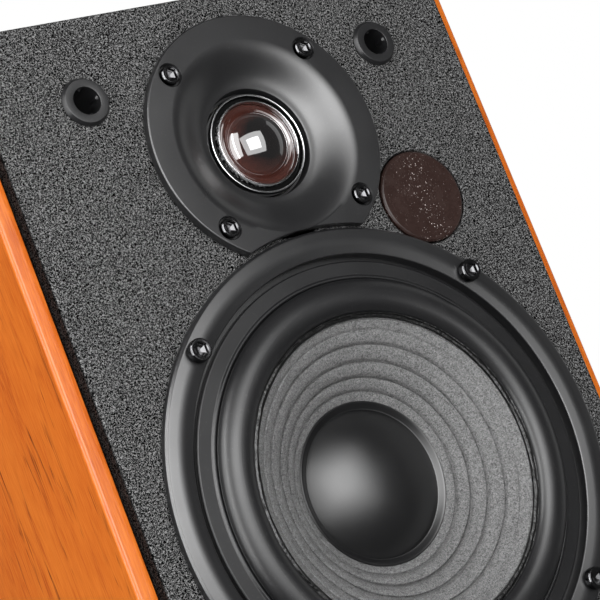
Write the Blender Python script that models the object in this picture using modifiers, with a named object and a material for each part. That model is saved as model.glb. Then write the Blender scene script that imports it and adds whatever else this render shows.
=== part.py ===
"""One powered two-way desktop speaker: wrapped cabinet, wooden cheeks, woofer, tweeter and rear amplifier.

The origin is at the middle of the footprint, on the surface that the speaker stands on. The front faces -Y
and +Z is up. Lengths below are in millimetres, and the helpers turn them into Blender's metres.
"""

import math

import bmesh
import bpy
from mathutils import Matrix

MM = 0.001
GAP = 0.3  # between pieces that touch

# Driving dimensions of the whole speaker
WIDTH = 144.0
HEIGHT = 234.0
DEPTH = 196.0
FRONT_PROUD = 5.3  # woofer screw heads, in front of the baffle
REAR_PROUD = 16.0  # knobs, behind the rear panel
FRONT = -DEPTH / 2 + FRONT_PROUD  # the baffle's front face
BACK = DEPTH / 2 - REAR_PROUD  # the rear panel's back face

# Cabinet
FOOT_HEIGHT = 4.0
FOOT_R = 8.0
FOOT_X = 55.0
FOOT_INSET = 24.0  # from the front and from the back, clear of both seams
BASE = FOOT_HEIGHT + GAP  # underside of the cabinet
BOX_HALF = 67.1  # half the width of the black box between the cheeks
WALL = 9.0
BAFFLE_T = 15.0
REAR_T = 12.0
BAFFLE_STEP = 3.6  # the baffle stands this far in front of the cheeks
CHEEK_ROUND = 1.5
BOX_MIDDLE = (BASE + HEIGHT) / 2
BOX_TALL = HEIGHT - BASE

# Drivers and front furniture, as (x, z)
WOOFER = (0.0, 110.2)
TWEETER = (0.0, 195.5)
SENSOR = (38.4, 172.2)
PORT = (0.0, 30.0)
SOCKET_X = 42.3
SOCKET_FROM_EDGE = 20.7
WOOFER_SCREW_AT = 40.1  # in x and in z from the woofer's axis
TWEETER_SCREW_AT = 19.5
WOOFER_HOLE_R = 54.3
WOOFER_FLANGE_R = 60.1
TWEETER_HOLE_R = 24.9
TWEETER_FLANGE_R = 31.4
FACEPLATE_CUT_R = 61.0  # the tweeter's faceplate ends on this arc round the woofer
SENSOR_R = 11.9
SENSOR_HOLE_R = 8.0
SENSOR_RECESS = 1.6
PORT_HOLE_R = 15.6
SOCKET_HOLE_R = 4.9
SOCKET_DEPTH = 11.5
SHANK_R = 1.4
SHANK_HOLE_R = 1.8
SHANK_HOLE_DEPTH = 12.5

# Amplifier on the back, as (x, z) from the middle of its plate
PLATE_W, PLATE_H, PLATE_T = 108.0, 186.0, 2.0
PLATE_Z = 119.0
OPENING_W, OPENING_H = 94.0, 172.0
PLATE_SCREW_X, PLATE_SCREW_Z = 50.5, 89.0
PLATE_OUT = BACK + GAP + PLATE_T  # the plate's outer face
KNOB_Z = 66.0
KNOB_SPACING = 30.0
SHAFT_R = 2.9
SHAFT_HOLE_R = 3.5
SHAFT_LENGTH = 9.0  # behind the plate's outer face
PHONO = (-25.0, 27.0)
TERMINAL = (25.0, 27.0)
HEAT_SINK_Z = -16.0
INLET = (-25.0, -66.0)
SWITCH = (25.0, -66.0)
TERMINAL_HOLE = (36.0, 20.0)
INLET_HOLE = (25.0, 17.0)
SWITCH_HOLE = (13.0, 22.0)
HOLE_PLAY = 1.0  # each of those holes is larger than the body in it by this much
CUT_OUT = 40.0  # cutters for pockets and wells reach this far out from their floors
LEVER_TILT = 25.0
ROCKER_TILT = 10.0

# Sides on round pieces
LARGE, MEDIUM, SMALL, TINY = 32, 20, 12, 8
KNOB_SIDES = 16

for leftover in list(bpy.data.objects):
    bpy.data.objects.remove(leftover)


def new_collection(name):
    made = bpy.data.collections.new(name)
    bpy.context.scene.collection.children.link(made)
    return made


PARTS = new_collection("desktop_speaker")
CUTTERS = new_collection("cutters")


def material(name, colour, roughness, metallic=0.0):
    made = bpy.data.materials.new(name)
    made.use_nodes = True
    shader = made.node_tree.nodes["Principled BSDF"]
    shader.inputs["Base Color"].default_value = (*colour, 1.0)
    shader.inputs["Roughness"].default_value = roughness
    shader.inputs["Metallic"].default_value = metallic
    return made


VENEER = material("cherry_veneer", (0.72, 0.26, 0.06), 0.35)
VINYL = material("black_vinyl", (0.035, 0.035, 0.035), 0.7)
PLATE_BLACK = material("satin_black_plate", (0.03, 0.03, 0.032), 0.4)
FRAME_BLACK = material("painted_frame", (0.03, 0.03, 0.032), 0.35)
RUBBER = material("rubber", (0.025, 0.025, 0.027), 0.55)
PAPER = material("grey_paper_cone", (0.2, 0.2, 0.21), 0.85)
CAP_BLACK = material("dust_cap_black", (0.02, 0.02, 0.022), 0.35)
DOME_FILM = material("dome_film", (0.12, 0.045, 0.03), 0.15)
CHROME = material("chrome", (0.75, 0.75, 0.76), 0.1, 1.0)
SCREW_BLACK = material("screw_black", (0.02, 0.02, 0.02), 0.3, 0.6)
WINDOW = material("sensor_window", (0.05, 0.015, 0.012), 0.15)
SPIDER_CLOTH = material("spider_cloth", (0.45, 0.3, 0.1), 0.9)
COPPER = material("copper_winding", (0.6, 0.28, 0.12), 0.4, 0.9)
STEEL = material("plated_steel", (0.6, 0.6, 0.6), 0.35, 1.0)
FERRITE = material("ferrite", (0.06, 0.06, 0.065), 0.7)
BOARD_GREEN = material("circuit_board", (0.02, 0.12, 0.05), 0.5)
ALUMINIUM = material("black_aluminium", (0.04, 0.04, 0.042), 0.45, 0.5)
PLASTIC = material("black_plastic", (0.03, 0.03, 0.03), 0.45)
RED = material("red_plastic", (0.55, 0.02, 0.02), 0.4)
CAN = material("capacitor_can", (0.03, 0.04, 0.12), 0.35)


def add(name, mesh, paint=None):
    """An object in the parts, or among the cutters when it has no material."""
    made = bpy.data.objects.new(name, mesh)
    if paint is None:
        CUTTERS.objects.link(made)
        made.hide_render = True
        made.display_type = "WIRE"
    else:
        PARTS.objects.link(made)
        mesh.materials.append(paint)
    return made


def box(name, size, centre, paint=None):
    """A block of that size about centre, both as (x, y, z)."""
    mesh = bpy.data.meshes.new(name)
    shape = bmesh.new()
    bmesh.ops.create_cube(shape, size=1.0)
    bmesh.ops.scale(shape, vec=[side * MM for side in size], verts=shape.verts)
    shape.to_mesh(mesh)
    shape.free()
    made = add(name, mesh, paint)
    made.location = [place * MM for place in centre]
    return made


def rod(name, radius, length, centre, paint=None, sides=TINY):
    """A cylinder along Y."""
    mesh = bpy.data.meshes.new(name)
    shape = bmesh.new()
    bmesh.ops.create_cone(
        shape,
        cap_ends=True,
        segments=sides,
        radius1=radius * MM,
        radius2=radius * MM,
        depth=length * MM,
    )
    shape.to_mesh(mesh)
    shape.free()
    made = add(name, mesh, paint)
    made.rotation_euler.x = math.radians(90)
    made.location = [place * MM for place in centre]
    return made


def turned(name, profile, at, paint, sides=MEDIUM, origin_y=FRONT, up=False):
    """A profile of (radius, height) turned about an axis through at = (x, z).

    The height counts from origin_y towards the front, or towards +Z when up. A profile whose two ends
    lie on the axis is solid in the middle; any other is a closed ring.
    """
    ring = profile[0][0] > 0 or profile[-1][0] > 0
    area = sum(
        a[0] * b[1] - b[0] * a[1] for a, b in zip(profile, profile[1:] + profile[:1])
    )
    if area > 0:  # the outer side has to run down, or the shape is inside out
        profile = profile[::-1]
    count = len(profile)
    mesh = bpy.data.meshes.new(name)
    edges = [(k, k + 1) for k in range(count - 1)]
    if ring:
        edges.append((count - 1, 0))
    mesh.from_pydata([(r * MM, 0.0, h * MM) for r, h in profile], edges, [])
    made = add(name, mesh, paint)
    turn = made.modifiers.new("turn", "SCREW")
    turn.axis = "Z"
    turn.steps = turn.render_steps = sides
    turn.use_merge_vertices = True
    turn.merge_threshold = 0.00001
    if up:
        made.location = (at[0] * MM, origin_y * MM, at[1] * MM)
    else:
        made.rotation_euler.x = math.radians(90)
        made.location = (at[0] * MM, origin_y * MM, at[1] * MM)
    return made


def outline(name, points, thickness, centre, paint=None):
    """A flat outline in (y, z) given thickness along X, about centre = (x, y, z)."""
    curve = bpy.data.curves.new(name, "CURVE")
    curve.dimensions = "2D"
    curve.fill_mode = "BOTH"
    curve.extrude = thickness * MM / 2
    line = curve.splines.new("POLY")
    line.points.add(len(points) - 1)
    for point, (across, along) in zip(line.points, points):
        point.co = (across * MM, along * MM, 0.0, 1.0)
    line.use_cyclic_u = True
    guide = bpy.data.objects.new(name + "_outline", curve)
    bpy.context.scene.collection.objects.link(guide)
    bpy.context.view_layer.update()
    mesh = bpy.data.meshes.new_from_object(
        guide.evaluated_get(bpy.context.evaluated_depsgraph_get())
    )
    bpy.data.objects.remove(guide)
    shape = bmesh.new()
    shape.from_mesh(mesh)
    bmesh.ops.remove_doubles(shape, verts=shape.verts, dist=0.00001)
    bmesh.ops.recalc_face_normals(shape, faces=shape.faces)
    stand_up = Matrix(((0, 0, 1, 0), (1, 0, 0, 0), (0, 1, 0, 0), (0, 0, 0, 1)))
    bmesh.ops.transform(shape, matrix=stand_up, verts=shape.verts)
    shape.to_mesh(mesh)
    shape.free()
    made = add(name, mesh, paint)
    made.location = [place * MM for place in centre]
    return made


def combine(target, helpers, operation="DIFFERENCE"):
    """Cuts the helpers out of target, or unites them with it."""
    group = bpy.data.collections.new(target.name + "_" + operation.lower())
    CUTTERS.children.link(group)
    for helper in helpers:
        CUTTERS.objects.unlink(helper)
        group.objects.link(helper)
    step = target.modifiers.new(operation.lower(), "BOOLEAN")
    step.operation = operation
    step.solver = "EXACT"
    step.operand_type = "COLLECTION"
    step.collection = group
    return target


def bevel(target, width, segments=1, weighted=False):
    step = target.modifiers.new("bevel", "BEVEL")
    step.width = width * MM
    step.segments = segments
    step.limit_method = "WEIGHT" if weighted else "ANGLE"
    return target


def corners(x, z):
    """The four mirrored places of (x, z), upper left first."""
    return [(-x, z), (x, z), (-x, -z), (x, -z)]


def at_depth(place, y):
    """The point at place = (x, z) and that y."""
    return (place[0], y, place[1])


def around(centre, offset):
    """Four places at the corners of a square about centre."""
    return [(centre[0] + x, centre[1] + z) for x, z in corners(offset, offset)]


def cabinet_wrap():
    """Top, bottom and inner side walls, folded from one wrapped board."""
    start = FRONT + BAFFLE_T + GAP
    end = BACK - REAR_T - GAP
    middle = (0.0, (start + end) / 2, BOX_MIDDLE)
    wrap = box("cabinet_wrap", (2 * BOX_HALF, end - start, BOX_TALL), middle, VINYL)
    inside = (2 * (BOX_HALF - WALL), 2 * (end - start), BOX_TALL - 2 * WALL)
    combine(wrap, [box("wrap_inside", inside, middle)])


def front_baffle():
    baffle = box(
        "front_baffle",
        (2 * BOX_HALF, BAFFLE_T, BOX_TALL),
        (0.0, FRONT + BAFFLE_T / 2, BOX_MIDDLE),
        VINYL,
    )
    baffle_edge = 0.8
    bevel(baffle, baffle_edge)
    middle = FRONT + BAFFLE_T / 2
    through = 2 * BAFFLE_T
    holes = [
        rod("woofer_hole", WOOFER_HOLE_R, through, at_depth(WOOFER, middle), sides=LARGE),
        rod("tweeter_hole", TWEETER_HOLE_R, through, at_depth(TWEETER, middle), sides=MEDIUM),
        rod("sensor_hole", SENSOR_HOLE_R, through, at_depth(SENSOR, middle), sides=SMALL),
        rod("sensor_recess", SENSOR_R + GAP, 2 * SENSOR_RECESS, at_depth(SENSOR, FRONT), sides=MEDIUM),
        rod("port_hole", PORT_HOLE_R, through, at_depth(PORT, middle), sides=MEDIUM),
    ]
    for k, (x, z) in enumerate(corners(SOCKET_X, BOX_TALL / 2 - SOCKET_FROM_EDGE)):
        place = (x, FRONT, BOX_MIDDLE + z)
        holes.append(rod(f"socket_hole_{k}", SOCKET_HOLE_R, 2 * SOCKET_DEPTH, place, sides=SMALL))
    screws = around(WOOFER, WOOFER_SCREW_AT) + around(TWEETER, TWEETER_SCREW_AT)
    for k, (x, z) in enumerate(screws):
        holes.append(rod(f"pilot_{k}", SHANK_HOLE_R, 2 * SHANK_HOLE_DEPTH, (x, FRONT, z)))
    combine(baffle, holes)


def rear_panel():
    middle = BACK - REAR_T / 2
    size = (2 * BOX_HALF, REAR_T, BOX_TALL)
    panel = box("rear_panel", size, (0.0, middle, BOX_MIDDLE), VINYL)
    holes = [box("amplifier_opening", (OPENING_W, 2 * REAR_T, OPENING_H), (0.0, middle, PLATE_Z))]
    pilot_depth = 9.0
    for k, (x, z) in enumerate(corners(PLATE_SCREW_X, PLATE_SCREW_Z)):
        holes.append(rod(f"plate_pilot_{k}", SHANK_HOLE_R, 2 * pilot_depth, (x, BACK, PLATE_Z + z)))
    combine(panel, holes)


def side_cheek(name, side):
    """A veneered board with its upright outer front corner eased. side is -1 for the left one."""
    thick = WIDTH / 2 - BOX_HALF - GAP
    start = FRONT + BAFFLE_STEP
    cheek = box(
        name,
        (thick, BACK - start, BOX_TALL),
        (side * (WIDTH - thick) / 2, (start + BACK) / 2, BOX_MIDDLE),
        VENEER,
    )
    shape = bmesh.new()
    shape.from_mesh(cheek.data)
    weight = shape.edges.layers.float.new("bevel_weight_edge")
    for edge in shape.edges:
        middle = (edge.verts[0].co + edge.verts[1].co) / 2
        if middle.x * side > 0 and middle.y < 0 and abs(middle.z) < MM:
            edge[weight] = 1.0
    shape.to_mesh(cheek.data)
    shape.free()
    bevel(cheek, CHEEK_ROUND, 4, weighted=True)


def feet():
    taper = 1.0
    profile = [(0.0, FOOT_HEIGHT), (FOOT_R, FOOT_HEIGHT), (FOOT_R - taper, 0.0), (0.0, 0.0)]
    for side, left_or_right in ((-1, "left"), (1, "right")):
        for y, end in ((FRONT + FOOT_INSET, "front"), (BACK - FOOT_INSET, "rear")):
            place = (side * FOOT_X, 0.0)
            turned(f"foot_{end}_{left_or_right}", profile, place, RUBBER, SMALL, y, up=True)


def sensor():
    """The dark window in its recess, and the receiver board behind the baffle."""
    proud, edge = 0.4, 0.5
    back = GAP - SENSOR_RECESS
    window = [
        (0.0, proud),
        (SENSOR_R - edge, proud),
        (SENSOR_R, proud - edge),
        (SENSOR_R, back),
        (0.0, back),
    ]
    turned("sensor_window", window, SENSOR, WINDOW)
    board_w, board_t, board_h = 20.0, 1.6, 16.0
    start = FRONT + BAFFLE_T + GAP
    size = (board_w, board_t, board_h)
    board = box("sensor_board", size, at_depth(SENSOR, start + board_t / 2), BOARD_GREEN)
    lens_r, lens_length = 3.5, 9.0
    place = at_depth(SENSOR, start - lens_length / 2 + board_t / 2)
    lens = rod("receiver_lens", lens_r, lens_length, place, sides=SMALL)
    combine(board, [lens], "UNION")


def grille_sockets():
    """Rubber bushes that take the pegs of a cloth grille."""
    face_r, flange_r, bore_r, barrel_r, proud = 5.3, 6.0, 3.4, 4.5, 1.4
    mouth, end = 0.3, GAP - SOCKET_DEPTH + 0.2
    profile = [
        (bore_r, proud - mouth),
        (bore_r + mouth, proud),
        (face_r, proud),
        (flange_r, GAP),
        (barrel_r, GAP),
        (barrel_r, end),
        (bore_r, end),
    ]
    names = ("upper_left", "upper_right", "lower_left", "lower_right")
    for name, (x, z) in zip(names, corners(SOCKET_X, BOX_TALL / 2 - SOCKET_FROM_EDGE)):
        turned(f"grille_socket_{name}", profile, (x, BOX_MIDDLE + z), RUBBER, SMALL)


def socket_screws(name, centre, offset, head_r, head_base, head_top):
    """Four socket-head screws, whose shanks end in the baffle."""
    socket_r, socket_depth, edge, point, tip = 1.4, 1.2, 0.5, 1.0, -11.0
    profile = [
        (0.0, head_top - socket_depth),
        (socket_r, head_top - socket_depth),
        (socket_r, head_top),
        (head_r - edge, head_top),
        (head_r, head_top - edge),
        (head_r, head_base),
        (SHANK_R, head_base),
        (SHANK_R, tip + point),
        (0.0, tip),
    ]
    for k, at in enumerate(around(centre, offset), 1):
        turned(f"{name}_screw_{k}", profile, at, SCREW_BLACK, TINY)


def tweeter():
    face, edge = 2.5, 0.7  # the faceplate's front, in front of the baffle, and its outer edge
    boss_r, boss_back, mouth_r = 23.8, -6.5, 13.1
    horn = [(mouth_r, -2.4), (15.0, -2.0), (16.6, -1.2), (18.6, 0.2), (21.0, 1.5), (24.2, face)]
    faceplate = turned(
        "tweeter_faceplate",
        horn
        + [
            (TWEETER_FLANGE_R - edge, face),
            (TWEETER_FLANGE_R, face - edge),
            (TWEETER_FLANGE_R, GAP),
            (boss_r, GAP),
            (boss_r, boss_back),
            (mouth_r, boss_back),
        ],
        TWEETER,
        PLATE_BLACK,
        LARGE,
    )
    counterbore_r, counterbore_floor, through = 2.8, 1.3, 20.0
    arc_place = at_depth(WOOFER, FRONT)
    cutters = [rod("faceplate_arc", FACEPLATE_CUT_R, through, arc_place, sides=LARGE + SMALL)]
    for k, (x, z) in enumerate(around(TWEETER, TWEETER_SCREW_AT)):
        cutters.append(rod(f"faceplate_hole_{k}", SHANK_HOLE_R, through, (x, FRONT, z)))
        place = (x, FRONT - counterbore_floor - through / 2, z)
        cutters.append(rod(f"faceplate_recess_{k}", counterbore_r, through, place, sides=SMALL))
    combine(faceplate, cutters)
    head_r, head_top = 2.4, 3.4
    socket_screws("tweeter", TWEETER, TWEETER_SCREW_AT, head_r, counterbore_floor + GAP, head_top)

    ring_in, ring_out, ring_face, ring_round = 10.6, 12.8, -2.2, 0.5
    trim = [
        (ring_in, ring_face - ring_round),
        (ring_in + ring_round, ring_face),
        (ring_out - ring_round, ring_face),
        (ring_out, ring_face - ring_round),
        (ring_out, boss_back),
        (ring_in, boss_back),
    ]
    turned("tweeter_trim_ring", trim, TWEETER, CHROME)

    dome_r, dome_rise, dome_foot, film, rim_r = 9.46, 5.2, -2.9, 0.4, 10.3
    ball_r = (dome_r**2 + dome_rise**2) / (2 * dome_rise)
    half_angle = math.asin(dome_r / ball_r)
    steps = 5
    arc = [
        (math.sin(a) * ball_r, dome_foot + dome_rise - ball_r * (1 - math.cos(a)))
        for a in (half_angle * k / steps for k in range(steps + 1))
    ]
    inner = [(r * (1 - film / ball_r), h - film) for r, h in arc]
    rim = [(rim_r, dome_foot), (rim_r, dome_foot - film)]
    turned("tweeter_dome", arc + rim + inner[::-1], TWEETER, DOME_FILM)

    coil_in, coil_out, coil_top, coil_end = 9.1, 9.6, dome_foot - film - GAP, -11.0
    coil = [(coil_in, coil_top), (coil_out, coil_top), (coil_out, coil_end), (coil_in, coil_end)]
    turned("tweeter_coil", coil, TWEETER, COPPER)

    plate_top, plate_end, magnet_end, yoke_end = -6.9, -10.0, -19.0, -23.0
    plate_r, plate_hole_r, magnet_r, magnet_hole_r, pole_r = 22.0, 10.3, 23.6, 13.0, 8.5
    ring = [
        (plate_hole_r, plate_top),
        (plate_r, plate_top),
        (plate_r, plate_end),
        (plate_hole_r, plate_end),
    ]
    turned("tweeter_top_plate", ring, TWEETER, STEEL)
    magnet = [
        (magnet_hole_r, plate_end - GAP),
        (magnet_r, plate_end - GAP),
        (magnet_r, magnet_end),
        (magnet_hole_r, magnet_end),
    ]
    turned("tweeter_magnet", magnet, TWEETER, FERRITE)
    yoke = [
        (0.0, plate_top),
        (pole_r, plate_top),
        (pole_r, magnet_end - GAP),
        (plate_r, magnet_end - GAP),
        (plate_r, yoke_end),
        (0.0, yoke_end),
    ]
    turned("tweeter_yoke", yoke, TWEETER, STEEL)


def woofer_frame():
    """Pressed basket with a raised flange, a shelf for the surround and one for the spider."""
    frame = turned(
        "woofer_frame",
        [
            (54.5, 3.0),
            (58.6, 3.0),
            (WOOFER_FLANGE_R, 2.0),
            (WOOFER_FLANGE_R, GAP),
            (53.5, GAP),
            (53.5, -2.6),
            (51.9, -4.2),
            (37.0, -24.5),
            (37.0, -29.7),
            (16.0, -29.7),
            (16.0, -28.2),
            (33.0, -28.2),
            (33.0, -22.5),
            (35.2, -22.5),
            (50.0, -2.3),
            (46.8, -2.3),
            (46.8, -0.5),
            (52.4, -0.5),
            (52.4, 1.0),
        ],
        WOOFER,
        FRAME_BLACK,
        LARGE,
    )
    windows, window_r, window_y = 6, 45.0, 14.5
    window_w, window_length, window_h = 20.0, 20.0, 12.0
    cutters = []
    for k in range(windows):
        turn = math.tau * (k + 0.5) / windows
        place = (
            WOOFER[0] + window_r * math.cos(turn),
            FRONT + window_y,
            WOOFER[1] + window_r * math.sin(turn),
        )
        window = box(f"frame_window_{k}", (window_length, window_h, window_w), place)
        window.rotation_euler.y = -turn
        cutters.append(window)
    for k, (x, z) in enumerate(around(WOOFER, WOOFER_SCREW_AT)):
        cutters.append(rod(f"flange_hole_{k}", SHANK_HOLE_R, 2 * SHANK_HOLE_DEPTH, (x, FRONT, z)))
    combine(frame, cutters)


def woofer_surround():
    """Rubber half roll between the frame's shelf and the edge of the cone."""
    roll_out, roll_in, foot_out, foot_in, rise, skin = 47.2, 38.6, 1.2, 2.4, 3.2, 0.8
    rim_r, rim_in, rim_back, lip_r = 52.0, 47.4, -0.2, 36.8
    steps = 6
    middle, half = (roll_out + roll_in) / 2, (roll_out - roll_in) / 2

    def roll(offset):
        points = []
        for k in range(steps + 1):
            a = math.pi * k / steps
            base = foot_out + (foot_in - foot_out) * k / steps
            points.append(
                (middle + (half - offset) * math.cos(a), base + (rise - offset) * math.sin(a))
            )
        return points

    over = [(rim_r, foot_out)] + roll(0.0) + [(lip_r, foot_in)]
    under = [(r, h - skin / 2) for r, h in roll(skin / 2)] + [(lip_r, foot_in - skin / 2)]
    rim = [(rim_in, rim_back), (rim_r, rim_back)]
    turned("woofer_surround", over + under[::-1] + rim, WOOFER, RUBBER, LARGE)


def woofer_moving_parts():
    front = [(38.2, 1.5), (36.4, 1.5), (28.0, -4.2), (20.2, -10.0), (13.3, -14.8)]
    paper = 0.8
    back = [(r, h - paper) for r, h in front]
    turned("woofer_cone", front + back[::-1], WOOFER, PAPER, LARGE)

    cap_over = [(0.0, -4.2), (5.0, -4.7), (10.0, -6.1), (14.5, -8.2), (17.9, -10.0), (19.9, -9.4)]
    cap_under = [(19.9, -9.85), (17.8, -11.2), (13.8, -8.8), (9.6, -6.8), (5.0, -5.5), (0.0, -5.0)]
    turned("woofer_dust_cap", cap_over + cap_under, WOOFER, CAP_BLACK)

    former_in, former_out, winding_r = 12.4, 12.9, 13.3
    former_top, winding_top, former_end = -12.2, -28.0, -38.0
    former = [
        (former_in, former_top),
        (former_out, former_top),
        (former_out, winding_top),
        (winding_r, winding_top),
        (winding_r, former_end),
        (former_in, former_end),
    ]
    turned("woofer_coil", former, WOOFER, COPPER)


def woofer_spider():
    """Ribbed cloth disc that centres the coil in its gap."""
    inner_r, rim_r, outer_r, level, wave, cloth, ribs = 13.4, 32.0, 34.6, -21.6, 1.0, 0.6, 7
    over = []
    for k in range(ribs):
        lift = 0.0 if k in (0, ribs - 1) else wave * (-1) ** k
        over.append((inner_r + (rim_r - inner_r) * k / (ribs - 1), level + lift))
    over.append((outer_r, level))
    under = [(r, h - cloth) for r, h in over]
    turned("woofer_spider", over + under[::-1], WOOFER, SPIDER_CLOTH)


def woofer_motor():
    plate_top, plate_end, magnet_end, yoke_end = -30.0, -35.0, -50.0, -55.8
    plate_hole_r, plate_r, magnet_hole_r, magnet_r = 14.2, 32.0, 18.0, 40.0
    pole_r, vent_r, yoke_r = 11.8, 3.5, 37.0
    plate = [
        (plate_hole_r, plate_top),
        (plate_r, plate_top),
        (plate_r, plate_end),
        (plate_hole_r, plate_end),
    ]
    turned("woofer_top_plate", plate, WOOFER, STEEL)
    magnet = [
        (magnet_hole_r, plate_end - GAP),
        (magnet_r, plate_end - GAP),
        (magnet_r, magnet_end),
        (magnet_hole_r, magnet_end),
    ]
    turned("woofer_magnet", magnet, WOOFER, FERRITE)
    yoke = [
        (vent_r, plate_top),
        (pole_r, plate_top),
        (pole_r, magnet_end - GAP),
        (yoke_r, magnet_end - GAP),
        (yoke_r, yoke_end),
        (vent_r, yoke_end),
    ]
    turned("woofer_yoke", yoke, WOOFER, STEEL)


def woofer():
    woofer_frame()
    woofer_surround()
    woofer_moving_parts()
    woofer_spider()
    woofer_motor()
    head_r, head_base = 2.75, 3.0 + GAP
    socket_screws("woofer", WOOFER, WOOFER_SCREW_AT, head_r, head_base, FRONT_PROUD)


def port_tube():
    bore_r, tube_r, lip_r, proud, length, edge = 13.5, 15.2, 19.0, 1.5, 75.0, 0.5
    profile = [
        (bore_r + 3.4, proud),
        (lip_r - edge, proud),
        (lip_r, proud - edge),
        (lip_r, GAP),
        (tube_r, GAP),
        (tube_r, -length),
        (bore_r, -length),
        (bore_r, -5.0),
        (bore_r + 1.1, -1.2),
    ]
    turned("port_tube", profile, PORT, PLASTIC)


def on_plate(place, out):
    """A point at (x, z) from the plate's middle, that far out from its outer face."""
    return (place[0], PLATE_OUT + out, PLATE_Z + place[1])


def knob_places():
    return [("treble", -KNOB_SPACING), ("bass", 0.0), ("volume", KNOB_SPACING)]


def amp_plate():
    size = (PLATE_W, PLATE_T, PLATE_H)
    plate = box("amp_plate", size, on_plate((0.0, 0.0), -PLATE_T / 2), ALUMINIUM)
    openings = (
        ("terminal_hole", TERMINAL, TERMINAL_HOLE),
        ("inlet_hole", INLET, INLET_HOLE),
        ("switch_hole", SWITCH, SWITCH_HOLE),
    )
    holes = [
        box(name, (wide, 4 * PLATE_T, tall), on_plate(place, 0.0))
        for name, place, (wide, tall) in openings
    ]
    for name, x in knob_places():
        place = on_plate((x, KNOB_Z), 0.0)
        holes.append(rod(f"{name}_hole", SHAFT_HOLE_R, 4 * PLATE_T, place, sides=SMALL))
    for k, place in enumerate(corners(PLATE_SCREW_X, PLATE_SCREW_Z)):
        holes.append(rod(f"plate_hole_{k}", SHANK_HOLE_R, 4 * PLATE_T, on_plate(place, 0.0)))
    combine(plate, holes)
    head_r, head_h, head_flat, head_side, length = 3.0, 2.0, 1.8, 0.8, 8.0
    screw = [
        (0.0, -head_h - GAP),
        (head_flat, -head_h - GAP),
        (head_r, -head_side),
        (head_r, -GAP),
        (SHANK_R, -GAP),
        (SHANK_R, length),
        (0.0, length),
    ]
    for k, (x, z) in enumerate(corners(PLATE_SCREW_X, PLATE_SCREW_Z), 1):
        turned(f"plate_screw_{k}", screw, (x, PLATE_Z + z), SCREW_BLACK, TINY, PLATE_OUT)


def knobs():
    """Three tone and volume knobs, each on its own shaft, with a pointer groove."""
    knob_r, skirt_r, out, rise, edge = 8.0, 8.4, REAR_PROUD - GAP - PLATE_T, 0.9, 1.0
    profile = [
        (0.0, SHAFT_LENGTH),
        (SHAFT_R, SHAFT_LENGTH),
        (SHAFT_R, -rise),
        (skirt_r, -rise),
        (knob_r, edge - out),
        (knob_r - edge, -out),
        (0.0, -out),
    ]
    groove_w, groove_deep, groove_long = 1.2, 0.8, 6.0
    for name, x in knob_places():
        axis = (x, PLATE_Z + KNOB_Z)
        knob = turned(f"{name}_knob", profile, axis, PLASTIC, KNOB_SIDES, PLATE_OUT)
        place = on_plate((x, KNOB_Z + skirt_r - groove_long / 2), out)
        groove = box(f"{name}_groove", (groove_w, 2 * groove_deep, groove_long), place)
        combine(knob, [groove])


def control_board():
    """Circuit board behind the knobs with the three potentiometers on it."""
    board_w, board_t, board_h, pot, pot_deep = 84.0, 1.6, 20.0, 15.0, 8.0
    pot_front = -PLATE_T - GAP  # just inside the plate
    board_middle = pot_front - pot_deep - board_t / 2
    size = (board_w, board_t, board_h)
    board = box("control_board", size, on_plate((0.0, KNOB_Z), board_middle), BOARD_GREEN)
    pots, bores = [], []
    overlap = 0.5
    for name, x in knob_places():
        place = on_plate((x, KNOB_Z), pot_front - (pot_deep + overlap) / 2)
        pots.append(box(f"{name}_pot", (pot, pot_deep + overlap, pot), place))
        bore_floor = -SHAFT_LENGTH - GAP
        bore_length = pot_front - bore_floor + overlap
        bore_place = on_plate((x, KNOB_Z), bore_floor + bore_length / 2)
        bores.append(rod(f"{name}_bore", SHAFT_HOLE_R, bore_length, bore_place, sides=SMALL))
    combine(board, pots, "UNION")
    combine(board, bores)


def phono_panel():
    """Plate with two pairs of phono input sockets."""
    panel_w, panel_t, panel_h = 42.0, 2.0, 32.0
    size = (panel_w, panel_t, panel_h)
    panel = box("phono_panel", size, on_plate(PHONO, GAP + panel_t / 2), PLASTIC)
    shell_r, shell_in, shell_out, pin_r, pin_deep = 4.2, 1.0, 10.0, 1.7, 8.0
    apart_x, apart_z = 10.0, 8.0  # each shell from the panel's middle
    length, halfway = shell_out - shell_in, (shell_out + shell_in) / 2
    shells, bores = [], []
    for k, (x, z) in enumerate(corners(apart_x, apart_z)):
        place = (PHONO[0] + x, PHONO[1] + z)
        shells.append(rod(f"phono_{k}", shell_r, length, on_plate(place, halfway), sides=SMALL))
        bores.append(rod(f"phono_bore_{k}", pin_r, 2 * pin_deep, on_plate(place, shell_out)))
    combine(panel, shells, "UNION")
    combine(panel, bores)


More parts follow.
